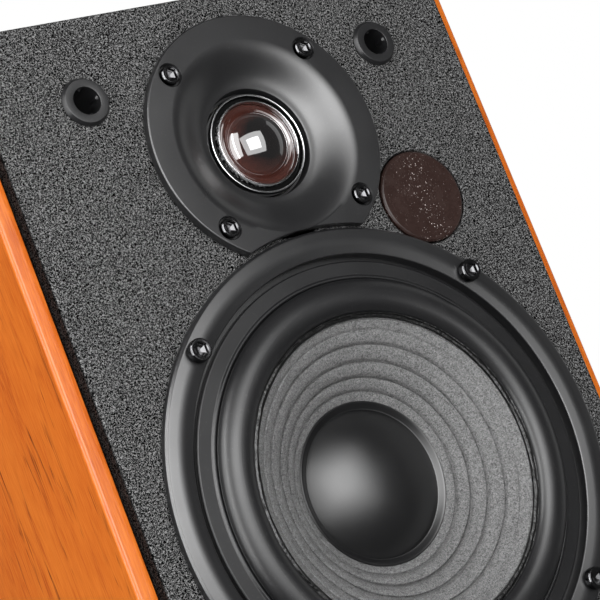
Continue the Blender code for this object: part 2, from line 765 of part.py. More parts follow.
def speaker_terminal():
    """Spring terminal for the second speaker: a block with two pockets and a press lever in each."""
    flange_w, flange_t, flange_h = 40.0, 2.4, 26.0
    size = (flange_w, flange_t, flange_h)
    flange = box("terminal_block", size, on_plate(TERMINAL, GAP + flange_t / 2), PLASTIC)
    body_w, body_h = TERMINAL_HOLE[0] - HOLE_PLAY, TERMINAL_HOLE[1] - HOLE_PLAY
    body_out, body_in = 9.0, -8.0
    body = box(
        "terminal_body",
        (body_w, body_out - body_in, body_h),
        on_plate(TERMINAL, (body_out + body_in) / 2),
    )
    combine(flange, [body], "UNION")
    pocket_x, pocket_w, pocket_h, pocket_floor = 8.0, 12.0, 16.4, 1.4
    lever_w, lever_t, lever_long, lever_edge = 11.2, 2.4, 12.0, 0.6
    pivot_up, pivot_out = 5.5, 5.0
    pockets = []
    for name, x, paint in (("red", -pocket_x, RED), ("black", pocket_x, PLASTIC)):
        place = (TERMINAL[0] + x, TERMINAL[1])
        size = (pocket_w, CUT_OUT, pocket_h)
        pockets.append(box(f"pocket_{name}", size, on_plate(place, pocket_floor + CUT_OUT / 2)))
        size = (lever_w, lever_t, lever_long)
        lever = box(f"terminal_lever_{name}", size, (0.0, 0.0, 0.0), paint)
        for vertex in lever.data.vertices:
            vertex.co.z -= (lever_long / 2 - lever_t / 2) * MM
        pivot = on_plate((place[0], place[1] + pivot_up), pivot_out)
        lever.location = [value * MM for value in pivot]
        lever.rotation_euler.x = math.radians(LEVER_TILT)
        bevel(lever, lever_edge)
    combine(flange, pockets)


def mains_inlet():
    """Two-pin inlet for a detachable lead."""
    flange_w, flange_t, flange_h = 31.0, 2.4, 22.0
    size = (flange_w, flange_t, flange_h)
    inlet = box("mains_inlet", size, on_plate(INLET, GAP + flange_t / 2), PLASTIC)
    body_w, body_h = INLET_HOLE[0] - HOLE_PLAY, INLET_HOLE[1] - HOLE_PLAY
    body_out, body_in = 1.5, -16.0
    size = (body_w, body_out - body_in, body_h)
    body = box("inlet_body", size, on_plate(INLET, (body_out + body_in) / 2))
    combine(inlet, [body], "UNION")
    well_w, well_h, well_floor = 17.0, 9.4, -12.0
    size = (well_w, CUT_OUT, well_h)
    combine(inlet, [box("inlet_well", size, on_plate(INLET, well_floor + CUT_OUT / 2))])
    pin_r, pin_x, pin_in, pin_out = 1.15, 4.3, well_floor - 1.0, -2.0
    pins = []
    for name, side in (("left", -1), ("right", 1)):
        place = on_plate((INLET[0] + side * pin_x, INLET[1]), (pin_out + pin_in) / 2)
        pins.append(rod(f"inlet_pin_{name}", pin_r, pin_out - pin_in, place))
    combine(inlet, pins, "UNION")


def power_switch():
    flange_w, flange_t, flange_h = 17.0, 2.0, 26.0
    size = (flange_w, flange_t, flange_h)
    housing = box("switch_housing", size, on_plate(SWITCH, GAP + flange_t / 2), PLASTIC)
    body_w, body_h = SWITCH_HOLE[0] - HOLE_PLAY, SWITCH_HOLE[1] - HOLE_PLAY
    body_out, body_in = 1.5, -13.0
    size = (body_w, body_out - body_in, body_h)
    body = box("switch_body", size, on_plate(SWITCH, (body_out + body_in) / 2))
    combine(housing, [body], "UNION")
    rocker_w, half_long, pivot_out, floor, end_room = 9.8, 8.2, 3.0, -1.6, 1.5
    size = (rocker_w + 2 * GAP, CUT_OUT, 2 * (half_long + end_room))
    combine(housing, [box("switch_well", size, on_plate(SWITCH, floor + CUT_OUT / 2))])
    side_view = [
        (-2.0, -6.0),
        (1.0, -half_long),
        (4.2, -half_long),
        (2.2, 0.0),
        (4.2, half_long),
        (1.0, half_long),
        (-2.0, 6.0),
    ]
    place = on_plate(SWITCH, pivot_out)
    rocker = outline("switch_rocker", side_view, rocker_w, place, PLASTIC)
    rocker.rotation_euler.x = math.radians(-ROCKER_TILT)


def heat_sink():
    wide, deep, tall, base_t, fins, fin_t = 84.0, 12.0, 44.0, 3.0, 10, 2.0
    place = on_plate((0.0, HEAT_SINK_Z), GAP + deep / 2)
    sink = box("heat_sink", (wide, deep, tall), place, ALUMINIUM)
    pitch = (wide - fin_t) / (fins - 1)
    slots = []
    for k in range(fins - 1):
        x = -wide / 2 + fin_t / 2 + pitch * (k + 0.5)
        place = on_plate((x, HEAT_SINK_Z), GAP + base_t + deep)
        slots.append(box(f"fin_slot_{k}", (pitch - fin_t, 2 * deep, 2 * tall), place))
    combine(sink, slots)


def inside_electronics():
    floor = BASE + WALL + GAP
    core_w, core_deep, core_h = 56.0, 22.0, 46.0
    winding_w, winding_deep, winding_h = 34.0, 38.0, 32.0
    transformer_y = 39.0
    middle = (0.0, transformer_y, floor + core_h / 2)
    transformer = box("transformer", (core_w, core_deep, core_h), middle, STEEL)
    winding = box("transformer_winding", (winding_w, winding_deep, winding_h), middle)
    combine(transformer, [winding], "UNION")
    board_w, board_t, board_h, board_y, board_z = 84.0, 1.6, 70.0, 52.0, 112.0
    box("amplifier_board", (board_w, board_t, board_h), (0.0, board_y, board_z), BOARD_GREEN)
    can_r, can_h, can_edge, can_x, can_z = 9.0, 22.0, 0.8, -24.0, 124.0
    can_y = board_y - board_t / 2 - GAP
    can = [
        (0.0, can_h),
        (can_r - can_edge, can_h),
        (can_r, can_h - can_edge),
        (can_r, 0.0),
        (0.0, 0.0),
    ]
    turned("reservoir_capacitor", can, (can_x, can_z), CAN, MEDIUM, can_y)


def smooth_round_pieces():
    """Screwed pieces shade smooth already; their hard edges and the flat pieces stay sharp."""
    sharp = math.radians(35)
    for piece in PARTS.objects:
        if not any(step.type == "SCREW" for step in piece.modifiers):
            piece.data.shade_smooth()
            piece.data.set_sharp_from_angle(angle=sharp)


cabinet_wrap()
front_baffle()
rear_panel()
side_cheek("side_cheek_left", -1)
side_cheek("side_cheek_right", 1)
feet()
sensor()
grille_sockets()
tweeter()
woofer()
port_tube()
amp_plate()
knobs()
control_board()
phono_panel()
speaker_terminal()
mains_inlet()
power_switch()
heat_sink()
inside_electronics()
smooth_round_pieces()
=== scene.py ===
"""The looks of one powered desktop speaker: its finished pieces, their materials, the light and the camera.

Lengths are in millimetres here, and the helpers turn them into Blender's metres. On a turned piece a profile
is a list of (radius, height, fillet) corners, and the height counts along the way that the piece faces.
"""

import math

import bmesh
import bpy
from mathutils import Euler, Matrix, Vector, noise


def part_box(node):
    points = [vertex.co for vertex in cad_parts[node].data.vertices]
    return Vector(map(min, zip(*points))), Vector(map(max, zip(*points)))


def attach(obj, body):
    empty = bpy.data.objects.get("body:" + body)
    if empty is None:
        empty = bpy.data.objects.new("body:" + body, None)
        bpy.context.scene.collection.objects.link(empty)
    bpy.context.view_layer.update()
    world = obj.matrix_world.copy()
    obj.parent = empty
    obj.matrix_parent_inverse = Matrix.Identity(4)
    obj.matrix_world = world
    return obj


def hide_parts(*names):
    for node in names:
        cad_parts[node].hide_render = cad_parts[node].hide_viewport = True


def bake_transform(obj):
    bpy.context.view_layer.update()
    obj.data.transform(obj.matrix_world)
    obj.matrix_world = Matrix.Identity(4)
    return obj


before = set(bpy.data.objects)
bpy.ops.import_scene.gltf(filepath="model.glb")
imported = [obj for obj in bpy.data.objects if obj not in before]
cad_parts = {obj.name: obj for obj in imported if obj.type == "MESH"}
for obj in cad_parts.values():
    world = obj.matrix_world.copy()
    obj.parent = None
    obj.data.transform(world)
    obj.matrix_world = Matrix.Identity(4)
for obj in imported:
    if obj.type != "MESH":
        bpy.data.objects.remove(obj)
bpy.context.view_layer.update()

MM = 0.001
replaced_nodes = set()


def middle(node):
    low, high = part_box(node)
    return (low + high) / 2 / MM


# Levels and centres that the frame gives
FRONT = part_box("front_baffle")[0].y / MM
BAFFLE_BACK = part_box("front_baffle")[1].y / MM
PLATE_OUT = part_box("amp_plate")[1].y / MM
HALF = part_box("front_baffle")[1].x / MM
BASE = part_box("front_baffle")[0].z / MM
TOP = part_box("front_baffle")[1].z / MM
WOOFER = middle("woofer_magnet")
TWEETER = middle("tweeter_magnet")
SENSOR = middle("sensor_window")
PORT = middle("port_tube")
WOOFER_AT = (WOOFER.x, FRONT, WOOFER.z)
TWEETER_AT = (TWEETER.x, FRONT, TWEETER.z)

AHEAD = Euler((math.radians(90), 0.0, 0.0))  # a piece's own Z looks to the front
BEHIND = Euler((math.radians(90), 0.0, math.radians(180)))  # and here to the rear
UPRIGHT = Euler((0.0, 0.0, 0.0))
SMOOTH_BELOW = math.radians(32)
HARD_ABOVE = math.radians(40)
SIDE_SHARE = 0.48  # the most that a fillet takes of the side that it shares with the next one

KNOBS = ("treble_knob", "bass_knob", "volume_knob")
SOCKETS = (
    "grille_socket_upper_left",
    "grille_socket_upper_right",
    "grille_socket_lower_left",
    "grille_socket_lower_right",
)


# ---------------------------------------------------------------- materials


class Surface:
    """A Principled material being built, with a short call for each kind of node."""

    def __init__(self, name, colour, roughness, metallic=0.0, **levels):
        self.material = bpy.data.materials.new(name)
        self.material.use_nodes = True
        self.tree = self.material.node_tree
        self.shader = self.tree.nodes["Principled BSDF"]
        self.place = self.tree.nodes.new("ShaderNodeTexCoord").outputs["Object"]
        self.set("Base Color", (*colour, 1.0))
        self.set("Roughness", roughness)
        self.set("Metallic", metallic)
        for level, value in levels.items():
            self.set(level.replace("_", " ").title().replace("Ior", "IOR"), value)

    def set(self, socket, value):
        if isinstance(value, bpy.types.NodeSocket):
            self.tree.links.new(value, self.shader.inputs[socket])
        else:
            self.shader.inputs[socket].default_value = value

    def node(self, kind, inputs, **settings):
        made = self.tree.nodes.new(kind)
        for setting, value in settings.items():
            setattr(made, setting, value)
        for socket, value in inputs.items():
            if isinstance(value, bpy.types.NodeSocket):
                self.tree.links.new(value, made.inputs[socket])
            else:
                made.inputs[socket].default_value = value
        return made

    def stretched(self, across, deep, up):
        """The place on the piece, multiplied along its own X, Y and Z and counted in millimetres."""
        scale = (across / MM, deep / MM, up / MM)
        made = self.node("ShaderNodeMapping", {"Vector": self.place, "Scale": scale})
        return made.outputs["Vector"]

    def own_axes(self):
        """The place on the piece along its own X, Y and Z, in millimetres."""
        return self.node("ShaderNodeSeparateXYZ", {0: self.stretched(1.0, 1.0, 1.0)}).outputs

    def radius(self):
        """The distance from the piece's own Z, in millimetres."""
        axes = self.own_axes()
        squares = [self.maths("MULTIPLY", axes[k], axes[k]) for k in (0, 1)]
        return self.maths("POWER", self.maths("ADD", *squares), 0.5)

    def noise(self, per_mm, detail=2.0, rough=0.5, stretch=(1.0, 1.0, 1.0), warp=0.0):
        """A soft random pattern with that many lumps to the millimetre."""
        where = self.stretched(*(per_mm * s for s in stretch))
        inputs = {
            "Vector": where,
            "Scale": 1.0,
            "Detail": detail,
            "Roughness": rough,
            "Distortion": warp,
        }
        return self.node("ShaderNodeTexNoise", inputs).outputs[0]

    def between(self, value, low, high, start=0.0, end=1.0):
        """The value moved from low..high to start..end, and kept inside it."""
        inputs = {"Value": value, "From Min": low, "From Max": high, "To Min": start, "To Max": end}
        return self.node("ShaderNodeMapRange", inputs).outputs[0]

    def maths(self, operation, first, second):
        return self.node("ShaderNodeMath", {0: first, 1: second}, operation=operation).outputs[0]

    def mix(self, share, first, second):
        """A colour that goes from first to second."""
        made = self.node("ShaderNodeMix", {}, data_type="RGBA")
        for socket, value in (("Factor", share), ("A", first), ("B", second)):
            slot = next(s for s in made.inputs if s.name == socket and s.enabled)
            if isinstance(value, bpy.types.NodeSocket):
                self.tree.links.new(value, slot)
            else:
                slot.default_value = value if socket == "Factor" else (*value, 1.0)
        return next(s for s in made.outputs if s.enabled)

    def bump(self, height, depth, strength=1.0):
        """A relief that stands as deep as that, in millimetres."""
        inputs = {"Height": height, "Distance": depth * MM, "Strength": strength}
        self.set("Normal", self.node("ShaderNodeBump", inputs).outputs[0])


def veneer():
    """Lacquered cherry, with its grain upright."""
    made = Surface("veneer", (0.42, 0.1, 0.01), 0.2, specular_ior_level=0.35)
    tone = made.noise(0.03, 3.0, 0.5, (1.0, 1.0, 0.35), 0.5)
    figure = made.noise(0.12, 4.0, 0.6, (1.0, 1.0, 0.12), 1.6)
    streak = made.noise(0.34, 3.0, 0.6, (1.0, 1.0, 0.1), 0.9)
    pore = made.noise(1.1, 3.0, 0.6, (1.0, 1.0, 0.06), 0.4)
    fibre = made.noise(3.0, 3.0, 0.65, (1.0, 1.0, 0.05))
    light, deep, dark = (0.39, 0.094, 0.009), (0.27, 0.047, 0.004), (0.08, 0.011, 0.001)
    colour = made.mix(made.between(tone, 0.38, 0.62), light, (0.34, 0.07, 0.006))
    colour = made.mix(made.between(figure, 0.5, 0.66, 0.0, 0.8), colour, deep)
    colour = made.mix(made.between(streak, 0.6, 0.7, 0.0, 0.85), colour, dark)
    colour = made.mix(made.between(pore, 0.58, 0.74, 0.0, 0.3), colour, dark)
    colour = made.mix(made.between(fibre, 0.4, 0.62, 0.0, 0.35), colour, (0.55, 0.16, 0.02))
    made.set("Base Color", colour)
    made.set("Roughness", made.between(fibre, 0.3, 0.7, 0.15, 0.25))
    made.bump(made.maths("ADD", fibre, pore), 0.02, 0.6)
    return made.material


def vinyl():
    """Black wrap with a fine grain like small pebbles. On faces that look sideways, round the board's ends,
    its colour and gloss are darkened as painted shade.
    """
    made = Surface("vinyl", (0.012, 0.012, 0.012), 0.4)
    worm = made.noise(2.5, 2.0, 0.6, warp=1.0)
    fine = made.noise(4.6, 1.0, 0.5)
    grain = made.maths("ADD", made.maths("MULTIPLY", worm, 0.65), made.maths("MULTIPLY", fine, 0.35))
    facing = made.tree.nodes.new("ShaderNodeTexCoord").outputs["Normal"]
    split = made.node("ShaderNodeSeparateXYZ", {0: facing})
    sideways = made.maths("ABSOLUTE", split.outputs[0], 0.0)
    # Painted shade: colour and gloss darken on faces that look sideways, along the board's ends.
    painted_side_shade = made.between(sideways, 0.4, 0.8, 1.0, 0.15)
    grain_and_side_shade = made.maths("MULTIPLY", painted_side_shade, made.between(grain, 0.48, 0.6))
    made.set("Base Color", made.mix(grain_and_side_shade, (0.001, 0.001, 0.001), (0.13, 0.13, 0.13)))
    made.set("Specular IOR Level", made.between(grain_and_side_shade, 0.0, 1.0, 0.0, 1.15))
    made.bump(grain, 0.35)
    return made.material


def satin(name, colour, roughness, level=0.5, grain=4.0, depth=0.006, dust=0.0):
    """Paint, rubber or moulded plastic: a faint orange peel, uneven gloss and a little dust."""
    made = Surface(name, colour, roughness, specular_ior_level=level)
    peel = made.noise(grain, 2.0, 0.5)
    haze = made.noise(0.06, 3.0, 0.55)
    if dust:
        speck = made.noise(1.9, 1.0, 0.4)
        pale = tuple(min(1.0, c + dust) for c in colour)
        made.set("Base Color", made.mix(made.between(speck, 0.66, 0.78), colour, pale))
    made.set("Roughness", made.between(haze, 0.3, 0.7, roughness - 0.03, roughness + 0.04))
    made.bump(peel, depth)
    return made.material


def paper():
    """Pressed fibre of the cone."""
    made = Surface("cone_paper", (0.1, 0.1, 0.1), 0.44, specular_ior_level=0.95)
    fibre = made.noise(2.8, 4.0, 0.75, warp=1.2)
    mottle = made.noise(0.9, 3.0, 0.65)
    colour = made.mix(made.between(fibre, 0.43, 0.6), (0.004, 0.004, 0.004), (0.2, 0.2, 0.2))
    colour = made.mix(made.between(mottle, 0.46, 0.66, 0.0, 0.2), colour, (0.18, 0.18, 0.18))
    made.set("Base Color", colour)
    made.bump(fibre, 0.35)
    return made.material


def plated_ring():
    """Bright plating on the two beads of the tweeter's ring, and painted shade in the groove between them:
    black and not metallic.
    """
    groove_r, painted_shade_to, bright_from = 11.65, 0.68, 0.78
    made = Surface("ring_plating", (0.75, 0.75, 0.76), 0.08)
    wear = made.noise(1.5, 3.0, 0.6)
    wander = made.maths("ADD", made.radius(), made.between(wear, 0.3, 0.7, -0.06, 0.06))
    apart = made.maths("ABSOLUTE", made.maths("SUBTRACT", wander, groove_r), 0.0)
    # Painted shade: near the groove's radius the ring is coloured black and loses its metal.
    bead = made.between(apart, painted_shade_to, bright_from)
    made.set("Metallic", bead)
    made.set("Base Color", made.mix(bead, (0.004, 0.004, 0.004), (0.7, 0.7, 0.71)))
    made.set("Specular IOR Level", 0.15)
    made.set("Roughness", made.between(wear, 0.3, 0.7, 0.06, 0.14))
    made.bump(wear, 0.004, 0.4)
    return made.material


def metal(name, colour, roughness, along=(1.0, 1.0, 1.0), scratch=3.0):
    """Bare or plated metal with fine marks, which are stretched where along isn't even."""
    made = Surface(name, colour, roughness, 1.0)
    line = made.noise(scratch, 3.0, 0.6, along)
    made.set("Roughness", made.between(line, 0.3, 0.7, max(0.03, roughness - 0.05), roughness + 0.07))
    made.set("Base Color", made.mix(line, tuple(c * 0.88 for c in colour), colour))
    made.bump(line, 0.004, 0.4)
    return made.material


def dome_film():
    """Lacquered film: dark over the gap, and red brown where it thickens towards its rim."""
    dark_to, brown_from = 5.0, 8.3
    lacquer = {"coat_weight": 1.0, "coat_roughness": 0.04, "coat_ior": 1.9}
    made = Surface("dome_film", (0.03, 0.01, 0.008), 0.06, specular_ior_level=0.8, **lacquer)
    weave = made.noise(1.2, 3.0, 0.6)
    edge = made.maths("ADD", made.radius(), made.between(weave, 0.3, 0.7, -0.5, 0.5))
    brown = made.between(edge, dark_to, brown_from)
    colour = made.mix(brown, (0.002, 0.0015, 0.0015), (0.034, 0.009, 0.006))
    made.set("Base Color", colour)
    made.set("Roughness", made.between(weave, 0.3, 0.7, 0.05, 0.1))
    made.bump(weave, 0.004, 0.3)
    return made.material


def window():
    """Dark red acrylic with dust on it, most of it along a line down the middle."""
    made = Surface("window", (0.02, 0.01, 0.008), 0.26, specular_ior_level=0.3)
    dusty_to = 8.0
    haze = made.noise(0.3, 4.0, 0.6)
    wander = made.between(haze, 0.3, 0.7, -3.0, 3.0)
    off = made.maths("ABSOLUTE", made.maths("ADD", made.own_axes()[0], wander), 0.0)
    dust = made.noise(3.4, 1.0, 0.3)
    nearness = made.between(off, 0.0, dusty_to, 0.025, -0.045)
    speck = made.between(made.maths("ADD", dust, nearness), 0.73, 0.77)
    colour = made.mix(haze, (0.012, 0.006, 0.005), (0.022, 0.012, 0.01))
    made.set("Base Color", made.mix(speck, colour, (0.5, 0.44, 0.42)))
    made.set("Roughness", made.between(haze, 0.3, 0.7, 0.2, 0.32))
    return made.material


def glue():
    """Dried rubber cement between the surround and the cone."""
    made = Surface("glue", (0.003, 0.003, 0.003), 0.14, specular_ior_level=0.4)
    lump = made.noise(0.9, 3.0, 0.6)
    made.set("Roughness", made.between(lump, 0.3, 0.7, 0.08, 0.3))
    made.bump(lump, 0.25, 0.8)
    return made.material


def circuit_board():
    """Green board with paler tracks."""
    made = Surface("circuit_board", (0.02, 0.13, 0.05), 0.4)
    track = made.node("ShaderNodeTexBrick", {"Vector": made.stretched(0.3, 0.3, 0.3), "Scale": 1.0})
    colour = made.mix(track.outputs["Fac"], (0.02, 0.12, 0.045), (0.03, 0.2, 0.08))
    made.set("Base Color", colour)
    made.bump(track.outputs["Fac"], 0.05, 0.4)
    return made.material


def cloth():
    """Resin-soaked cotton of the spider."""
    made = Surface("spider_cloth", (0.45, 0.3, 0.1), 0.9)
    weft = made.noise(2.0, 1.0, 0.4, (0.2, 1.0, 1.0))
    warp = made.noise(2.0, 1.0, 0.4, (1.0, 1.0, 0.2))
    weave = made.maths("MULTIPLY", weft, warp)
    made.set("Base Color", made.mix(made.between(weave, 0.1, 0.45), (0.3, 0.18, 0.05), (0.52, 0.36, 0.14)))
    made.bump(weave, 0.15)
    return made.material


BLACK = (0.006, 0.006, 0.0065)
PAINT = {
    "veneer": veneer(),
    "vinyl": vinyl(),
    "faceplate": satin("faceplate", BLACK, 0.3, 0.85, 5.0, 0.003, 0.01),
    "frame_paint": satin("frame_paint", BLACK, 0.31, 0.85, 4.0, 0.004, 0.01),
    "rubber": satin("rubber", BLACK, 0.34, 0.5, 3.0, 0.006, 0.012),
    "cone_paper": paper(),
    "dust_cap": satin("dust_cap", (0.003, 0.003, 0.0033), 0.33, 0.75, 2.0, 0.002, 0.005),
    "dome_film": dome_film(),
    "chrome": plated_ring(),
    "black_screw": metal("black_screw", (0.085, 0.085, 0.088), 0.15),
    "window": window(),
    "spider_cloth": cloth(),
    "winding": metal("winding", (0.7, 0.3, 0.13), 0.35, (0.1, 6.0, 0.1)),
    "plated_steel": metal("plated_steel", (0.62, 0.6, 0.55), 0.3),
    "ferrite": satin("ferrite", (0.05, 0.05, 0.055), 0.7, 0.4, 1.5, 0.03, 0.04),
    "circuit_board": circuit_board(),
    "black_aluminium": satin("black_aluminium", (0.02, 0.02, 0.021), 0.42, 0.7, 2.6, 0.02, 0.01),
    "red_plastic": satin("red_plastic", (0.45, 0.012, 0.01), 0.35),
    "capacitor_sleeve": satin("capacitor_sleeve", (0.02, 0.03, 0.1), 0.3),
    "black_plastic": satin("black_plastic", (0.018, 0.018, 0.018), 0.4, 0.6, 3.0, 0.012, 0.01),
}
GLUE = glue()
WHITE_PLASTIC = satin("white_plastic", (0.7, 0.7, 0.68), 0.4)
NICKEL = metal("nickel", (0.75, 0.73, 0.68), 0.18)


# ------------------------------------------------------------------- shapes


def rounded(profile, steps=5):
    """The points of a profile, each corner with a fillet drawn as an arc."""
    ring = profile[0][0] > 0 or profile[-1][0] > 0
    corners = [Vector(corner[:2]) for corner in profile]
    points = []
    for k, here in enumerate(corners):
        fillet = profile[k][2] if len(profile[k]) > 2 else 0.0
        at_axis = not ring and k in (0, len(corners) - 1)
        if at_axis or fillet <= 0:
            points.append(here)
            continue
        back = corners[k - 1] - here
        on = corners[(k + 1) % len(corners)] - here
        half = back.angle(on) / 2
        reach = min(fillet / math.tan(half), SIDE_SHARE * back.length, SIDE_SHARE * on.length)
        radius = reach * math.tan(half)
        back.normalize()
        on.normalize()
        centre = here + (back + on).normalized() * radius / math.sin(half)
        start = here + back * reach - centre
        turn = start.angle_signed(here + on * reach - centre)
        for step in range(steps + 1):
            points.append(centre + Matrix.Rotation(-turn * step / steps, 2) @ start)
    return points


def to_object(name, shape, paint, place=(0.0, 0.0, 0.0), facing=UPRIGHT):
    """An object from a bmesh, at a place in millimetres."""
    bmesh.ops.recalc_face_normals(shape, faces=shape.faces)
    mesh = bpy.data.meshes.new(name)
    shape.to_mesh(mesh)
    shape.free()
    mesh.materials.append(paint)
    made = bpy.data.objects.new(name, mesh)
    bpy.context.scene.collection.objects.link(made)
    made.rotation_euler = facing
    made.location = [value * MM for value in place]
    return made


def turned(name, profile, paint, place, facing=AHEAD, sides=128, vary=None, extra=(), sector=None):
    """A profile turned about the piece's own Z.

    vary(angle, radius, height) may move a point, extra are further angles that need a point of their own,
    and sector = (start, end) turns only that part of the way round and closes its two ends.
    """
    if sector:
        start, end = sector
        angles = [start + (end - start) * k / sides for k in range(sides + 1)]
    else:
        angles = sorted([math.tau * k / sides for k in range(sides)] + [a % math.tau for a in extra])
    shape = bmesh.new()
    rings = []
    for r, h in rounded(profile):
        if r < 1e-6:
            rings.append([shape.verts.new((0.0, 0.0, h * MM))])
            continue
        ring = []
        for a in angles:
            radius, height = vary(a, r, h) if vary else (r, h)
            ring.append(shape.verts.new((radius * MM * math.cos(a), radius * MM * math.sin(a), height * MM)))
        rings.append(ring)
    pairs = list(zip(rings, rings[1:]))
    if len(rings[0]) > 1 or len(rings[-1]) > 1:
        pairs.append((rings[-1], rings[0]))
    for upper, lower in pairs:
        count = max(len(upper), len(lower))
        for k in range(count - 1 if sector else count):
            n = (k + 1) % count
            quad = ((upper, k), (upper, n), (lower, n), (lower, k))
            around = list(dict.fromkeys(ring[at % len(ring)] for ring, at in quad))
            if len(around) > 2:
                shape.faces.new(around)
    if sector:
        shape.faces.new([ring[0] for ring in rings])
        shape.faces.new([ring[-1] for ring in reversed(rings)])
    return to_object(name, shape, paint, place, facing)


def box_shape(size, shift=(0.0, 0.0, 0.0)):
    shape = bmesh.new()
    bmesh.ops.create_cube(shape, size=1.0)
    bmesh.ops.scale(shape, vec=[side * MM for side in size], verts=shape.verts)
    bmesh.ops.translate(shape, vec=[side * MM for side in shift], verts=shape.verts)
    return shape


def hard_edges(shape, above):
    return [edge for edge in shape.edges if edge.calc_face_angle(0.0) > above]


def round_off(shape, edges, width, steps):
    bmesh.ops.bevel(shape, geom=edges, offset=width * MM, segments=steps, affect="EDGES", profile=0.5)


def block(name, size, paint, place, edge=0.4, steps=3, facing=UPRIGHT, shift=(0.0, 0.0, 0.0)):
    """A box with rounded edges. The shift moves it from its own origin, which sits at its place."""
    shape = box_shape(size, shift)
    round_off(shape, shape.edges[:], edge, steps)
    return to_object(name, shape, paint, place, facing)


def circle(centre, radius, count=96):
    x, y = centre
    angles = [math.tau * k / count for k in range(count)]
    return [(x + radius * math.cos(a), y + radius * math.sin(a)) for a in angles]


def rectangle(centre, wide, tall, corner=0.0, steps=6):
    """A rectangle's outline, with its corners rounded."""
    points = []
    for turn, (sx, sy) in enumerate(((1, 1), (-1, 1), (-1, -1), (1, -1))):
        x, y = centre[0] + sx * (wide / 2 - corner), centre[1] + sy * (tall / 2 - corner)
        for k in range(steps + 1 if corner else 1):
            a = math.radians(90) * (turn + k / steps)
            points.append((x + corner * math.cos(a), y + corner * math.sin(a)))
    return points


def plate(name, outline, holes, thick, edge, paint, place, facing=AHEAD):
    """A flat outline with holes and rounded edges. It reaches back from its place by its thickness."""
    curve = bpy.data.curves.new(name + "_outline", "CURVE")
    curve.dimensions = "2D"
    curve.fill_mode = "BOTH"
    curve.extrude = (thick / 2 - edge) * MM
    curve.bevel_depth = edge * MM
    curve.offset = -edge * MM
    curve.bevel_resolution = 3
    for points in [outline, *holes]:
        line = curve.splines.new("POLY")
        line.points.add(len(points) - 1)
        for point, (x, y) in zip(line.points, points):
            point.co = (x * MM, y * MM, 0.0, 1.0)
        line.use_cyclic_u = True
    guide = bpy.data.objects.new(name + "_outline", curve)
    bpy.context.scene.collection.objects.link(guide)
    bpy.context.view_layer.update()
    mesh = bpy.data.meshes.new_from_object(guide.evaluated_get(bpy.context.evaluated_depsgraph_get()))
    bpy.data.objects.remove(guide)
    shape = bmesh.new()
    shape.from_mesh(mesh)
    bpy.data.meshes.remove(mesh)
    bmesh.ops.remove_doubles(shape, verts=shape.verts, dist=1e-6)
    bmesh.ops.translate(shape, vec=(0.0, 0.0, -thick * MM / 2), verts=shape.verts)
    return to_object(name, shape, paint, place, facing)


def combined(piece, tools, operation="DIFFERENCE"):
    """Cuts the tools out of the piece, or joins them to it, and removes them."""
    for tool in tools:
        step = piece.modifiers.new("join", "BOOLEAN")
        step.operation = operation
        step.solver = "EXACT"
        step.object = tool
    bpy.context.view_layer.update()
    mesh = bpy.data.meshes.new_from_object(piece.evaluated_get(bpy.context.evaluated_depsgraph_get()))
    piece.modifiers.clear()
    piece.data = mesh
    for tool in tools:
        bpy.data.objects.remove(tool)
    return piece


def shaded(piece):
    """Smooth, but crisp at its hard edges and flat on its flat faces."""
    piece.data.shade_smooth()
    piece.data.set_sharp_from_angle(angle=SMOOTH_BELOW)
    flatten = piece.modifiers.new("even_shading", "WEIGHTED_NORMAL")
    flatten.keep_sharp = True
    flatten.weight = 60


def settled(piece, body="cabinet", *nodes):
    """The finished piece is shaded, rides on its body and stands for its CAD nodes."""
    shaded(piece)
    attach(piece, body)
    if nodes:
        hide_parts(*nodes)
        replaced_nodes.update(nodes)
    return piece


def corners(x, z):
    """The corners of a rectangle about its middle."""
    return [(-x, z), (x, z), (-x, -z), (x, -z)]


def cap_profile(top, edge_r, rise, steps):
    """A shallow dome's profile, from its top out to its edge, and the radius of its ball."""
    ball = (edge_r**2 + rise**2) / (2 * rise)
    half_angle = math.asin(edge_r / ball)
    angles = [half_angle * k / steps for k in range(steps + 1)]
    return [(ball * math.sin(a), top - ball * (1 - math.cos(a))) for a in angles], ball


# ------------------------------------------------------------- the cabinet


def baffle():
    """Wrapped front board with an opening behind each thing that it carries."""
    thick, edge = BAFFLE_BACK - FRONT, 0.7
    openings = [(WOOFER, 54.3, 160), (TWEETER, 24.9, 96), (SENSOR, 12.2, 96), (PORT, 15.6, 96)]
    openings += [(middle(name), 4.9, 48) for name in SOCKETS]
    holes = [circle((place.x, place.z), radius, count) for place, radius, count in openings]
    outline = rectangle((0.0, (BASE + TOP) / 2), 2 * HALF, TOP - BASE, 0.5, 3)
    board = plate("baffle_board", outline, holes, thick, edge, PAINT["vinyl"], (0.0, FRONT, 0.0))
    settled(board, "cabinet", "front_baffle")


def cheek(node, side):
    """Veneered side board, left (-1) or right (1), with its upright front corner well rounded."""
    corner_round, edge_round = 1.1, 0.35
    low, high = (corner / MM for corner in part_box(node))
    shape = box_shape(high - low)
    front_corner = [
        edge for edge in shape.edges if all(v.co.x * side > 0 and v.co.y < 0 for v in edge.verts)
    ]
    round_off(shape, front_corner, corner_round, 10)
    round_off(shape, hard_edges(shape, HARD_ABOVE), edge_round, 3)
    made = to_object(f"{node}_board", shape, PAINT["veneer"], (low + high) / 2)
    settled(made, "cabinet", node)


def feet():
    """Rubber pads, each a little hollow underneath."""
    for node in ("foot_front_left", "foot_front_right", "foot_rear_left", "foot_rear_right"):
        place = middle(node)
        foot_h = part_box(node)[1].z / MM
        profile = [(0.0, foot_h), (8.0, foot_h, 0.3), (7.9, 2.0, 1.0), (7.0, 0.0, 0.6)]
        profile += [(4.2, 0.0, 0.3), (3.9, 0.7, 0.2), (0.0, 0.7)]
        made = turned(f"{node}_pad", profile, PAINT["rubber"], (place.x, place.y, 0.0), UPRIGHT, 64)
        settled(made, "cabinet", node)


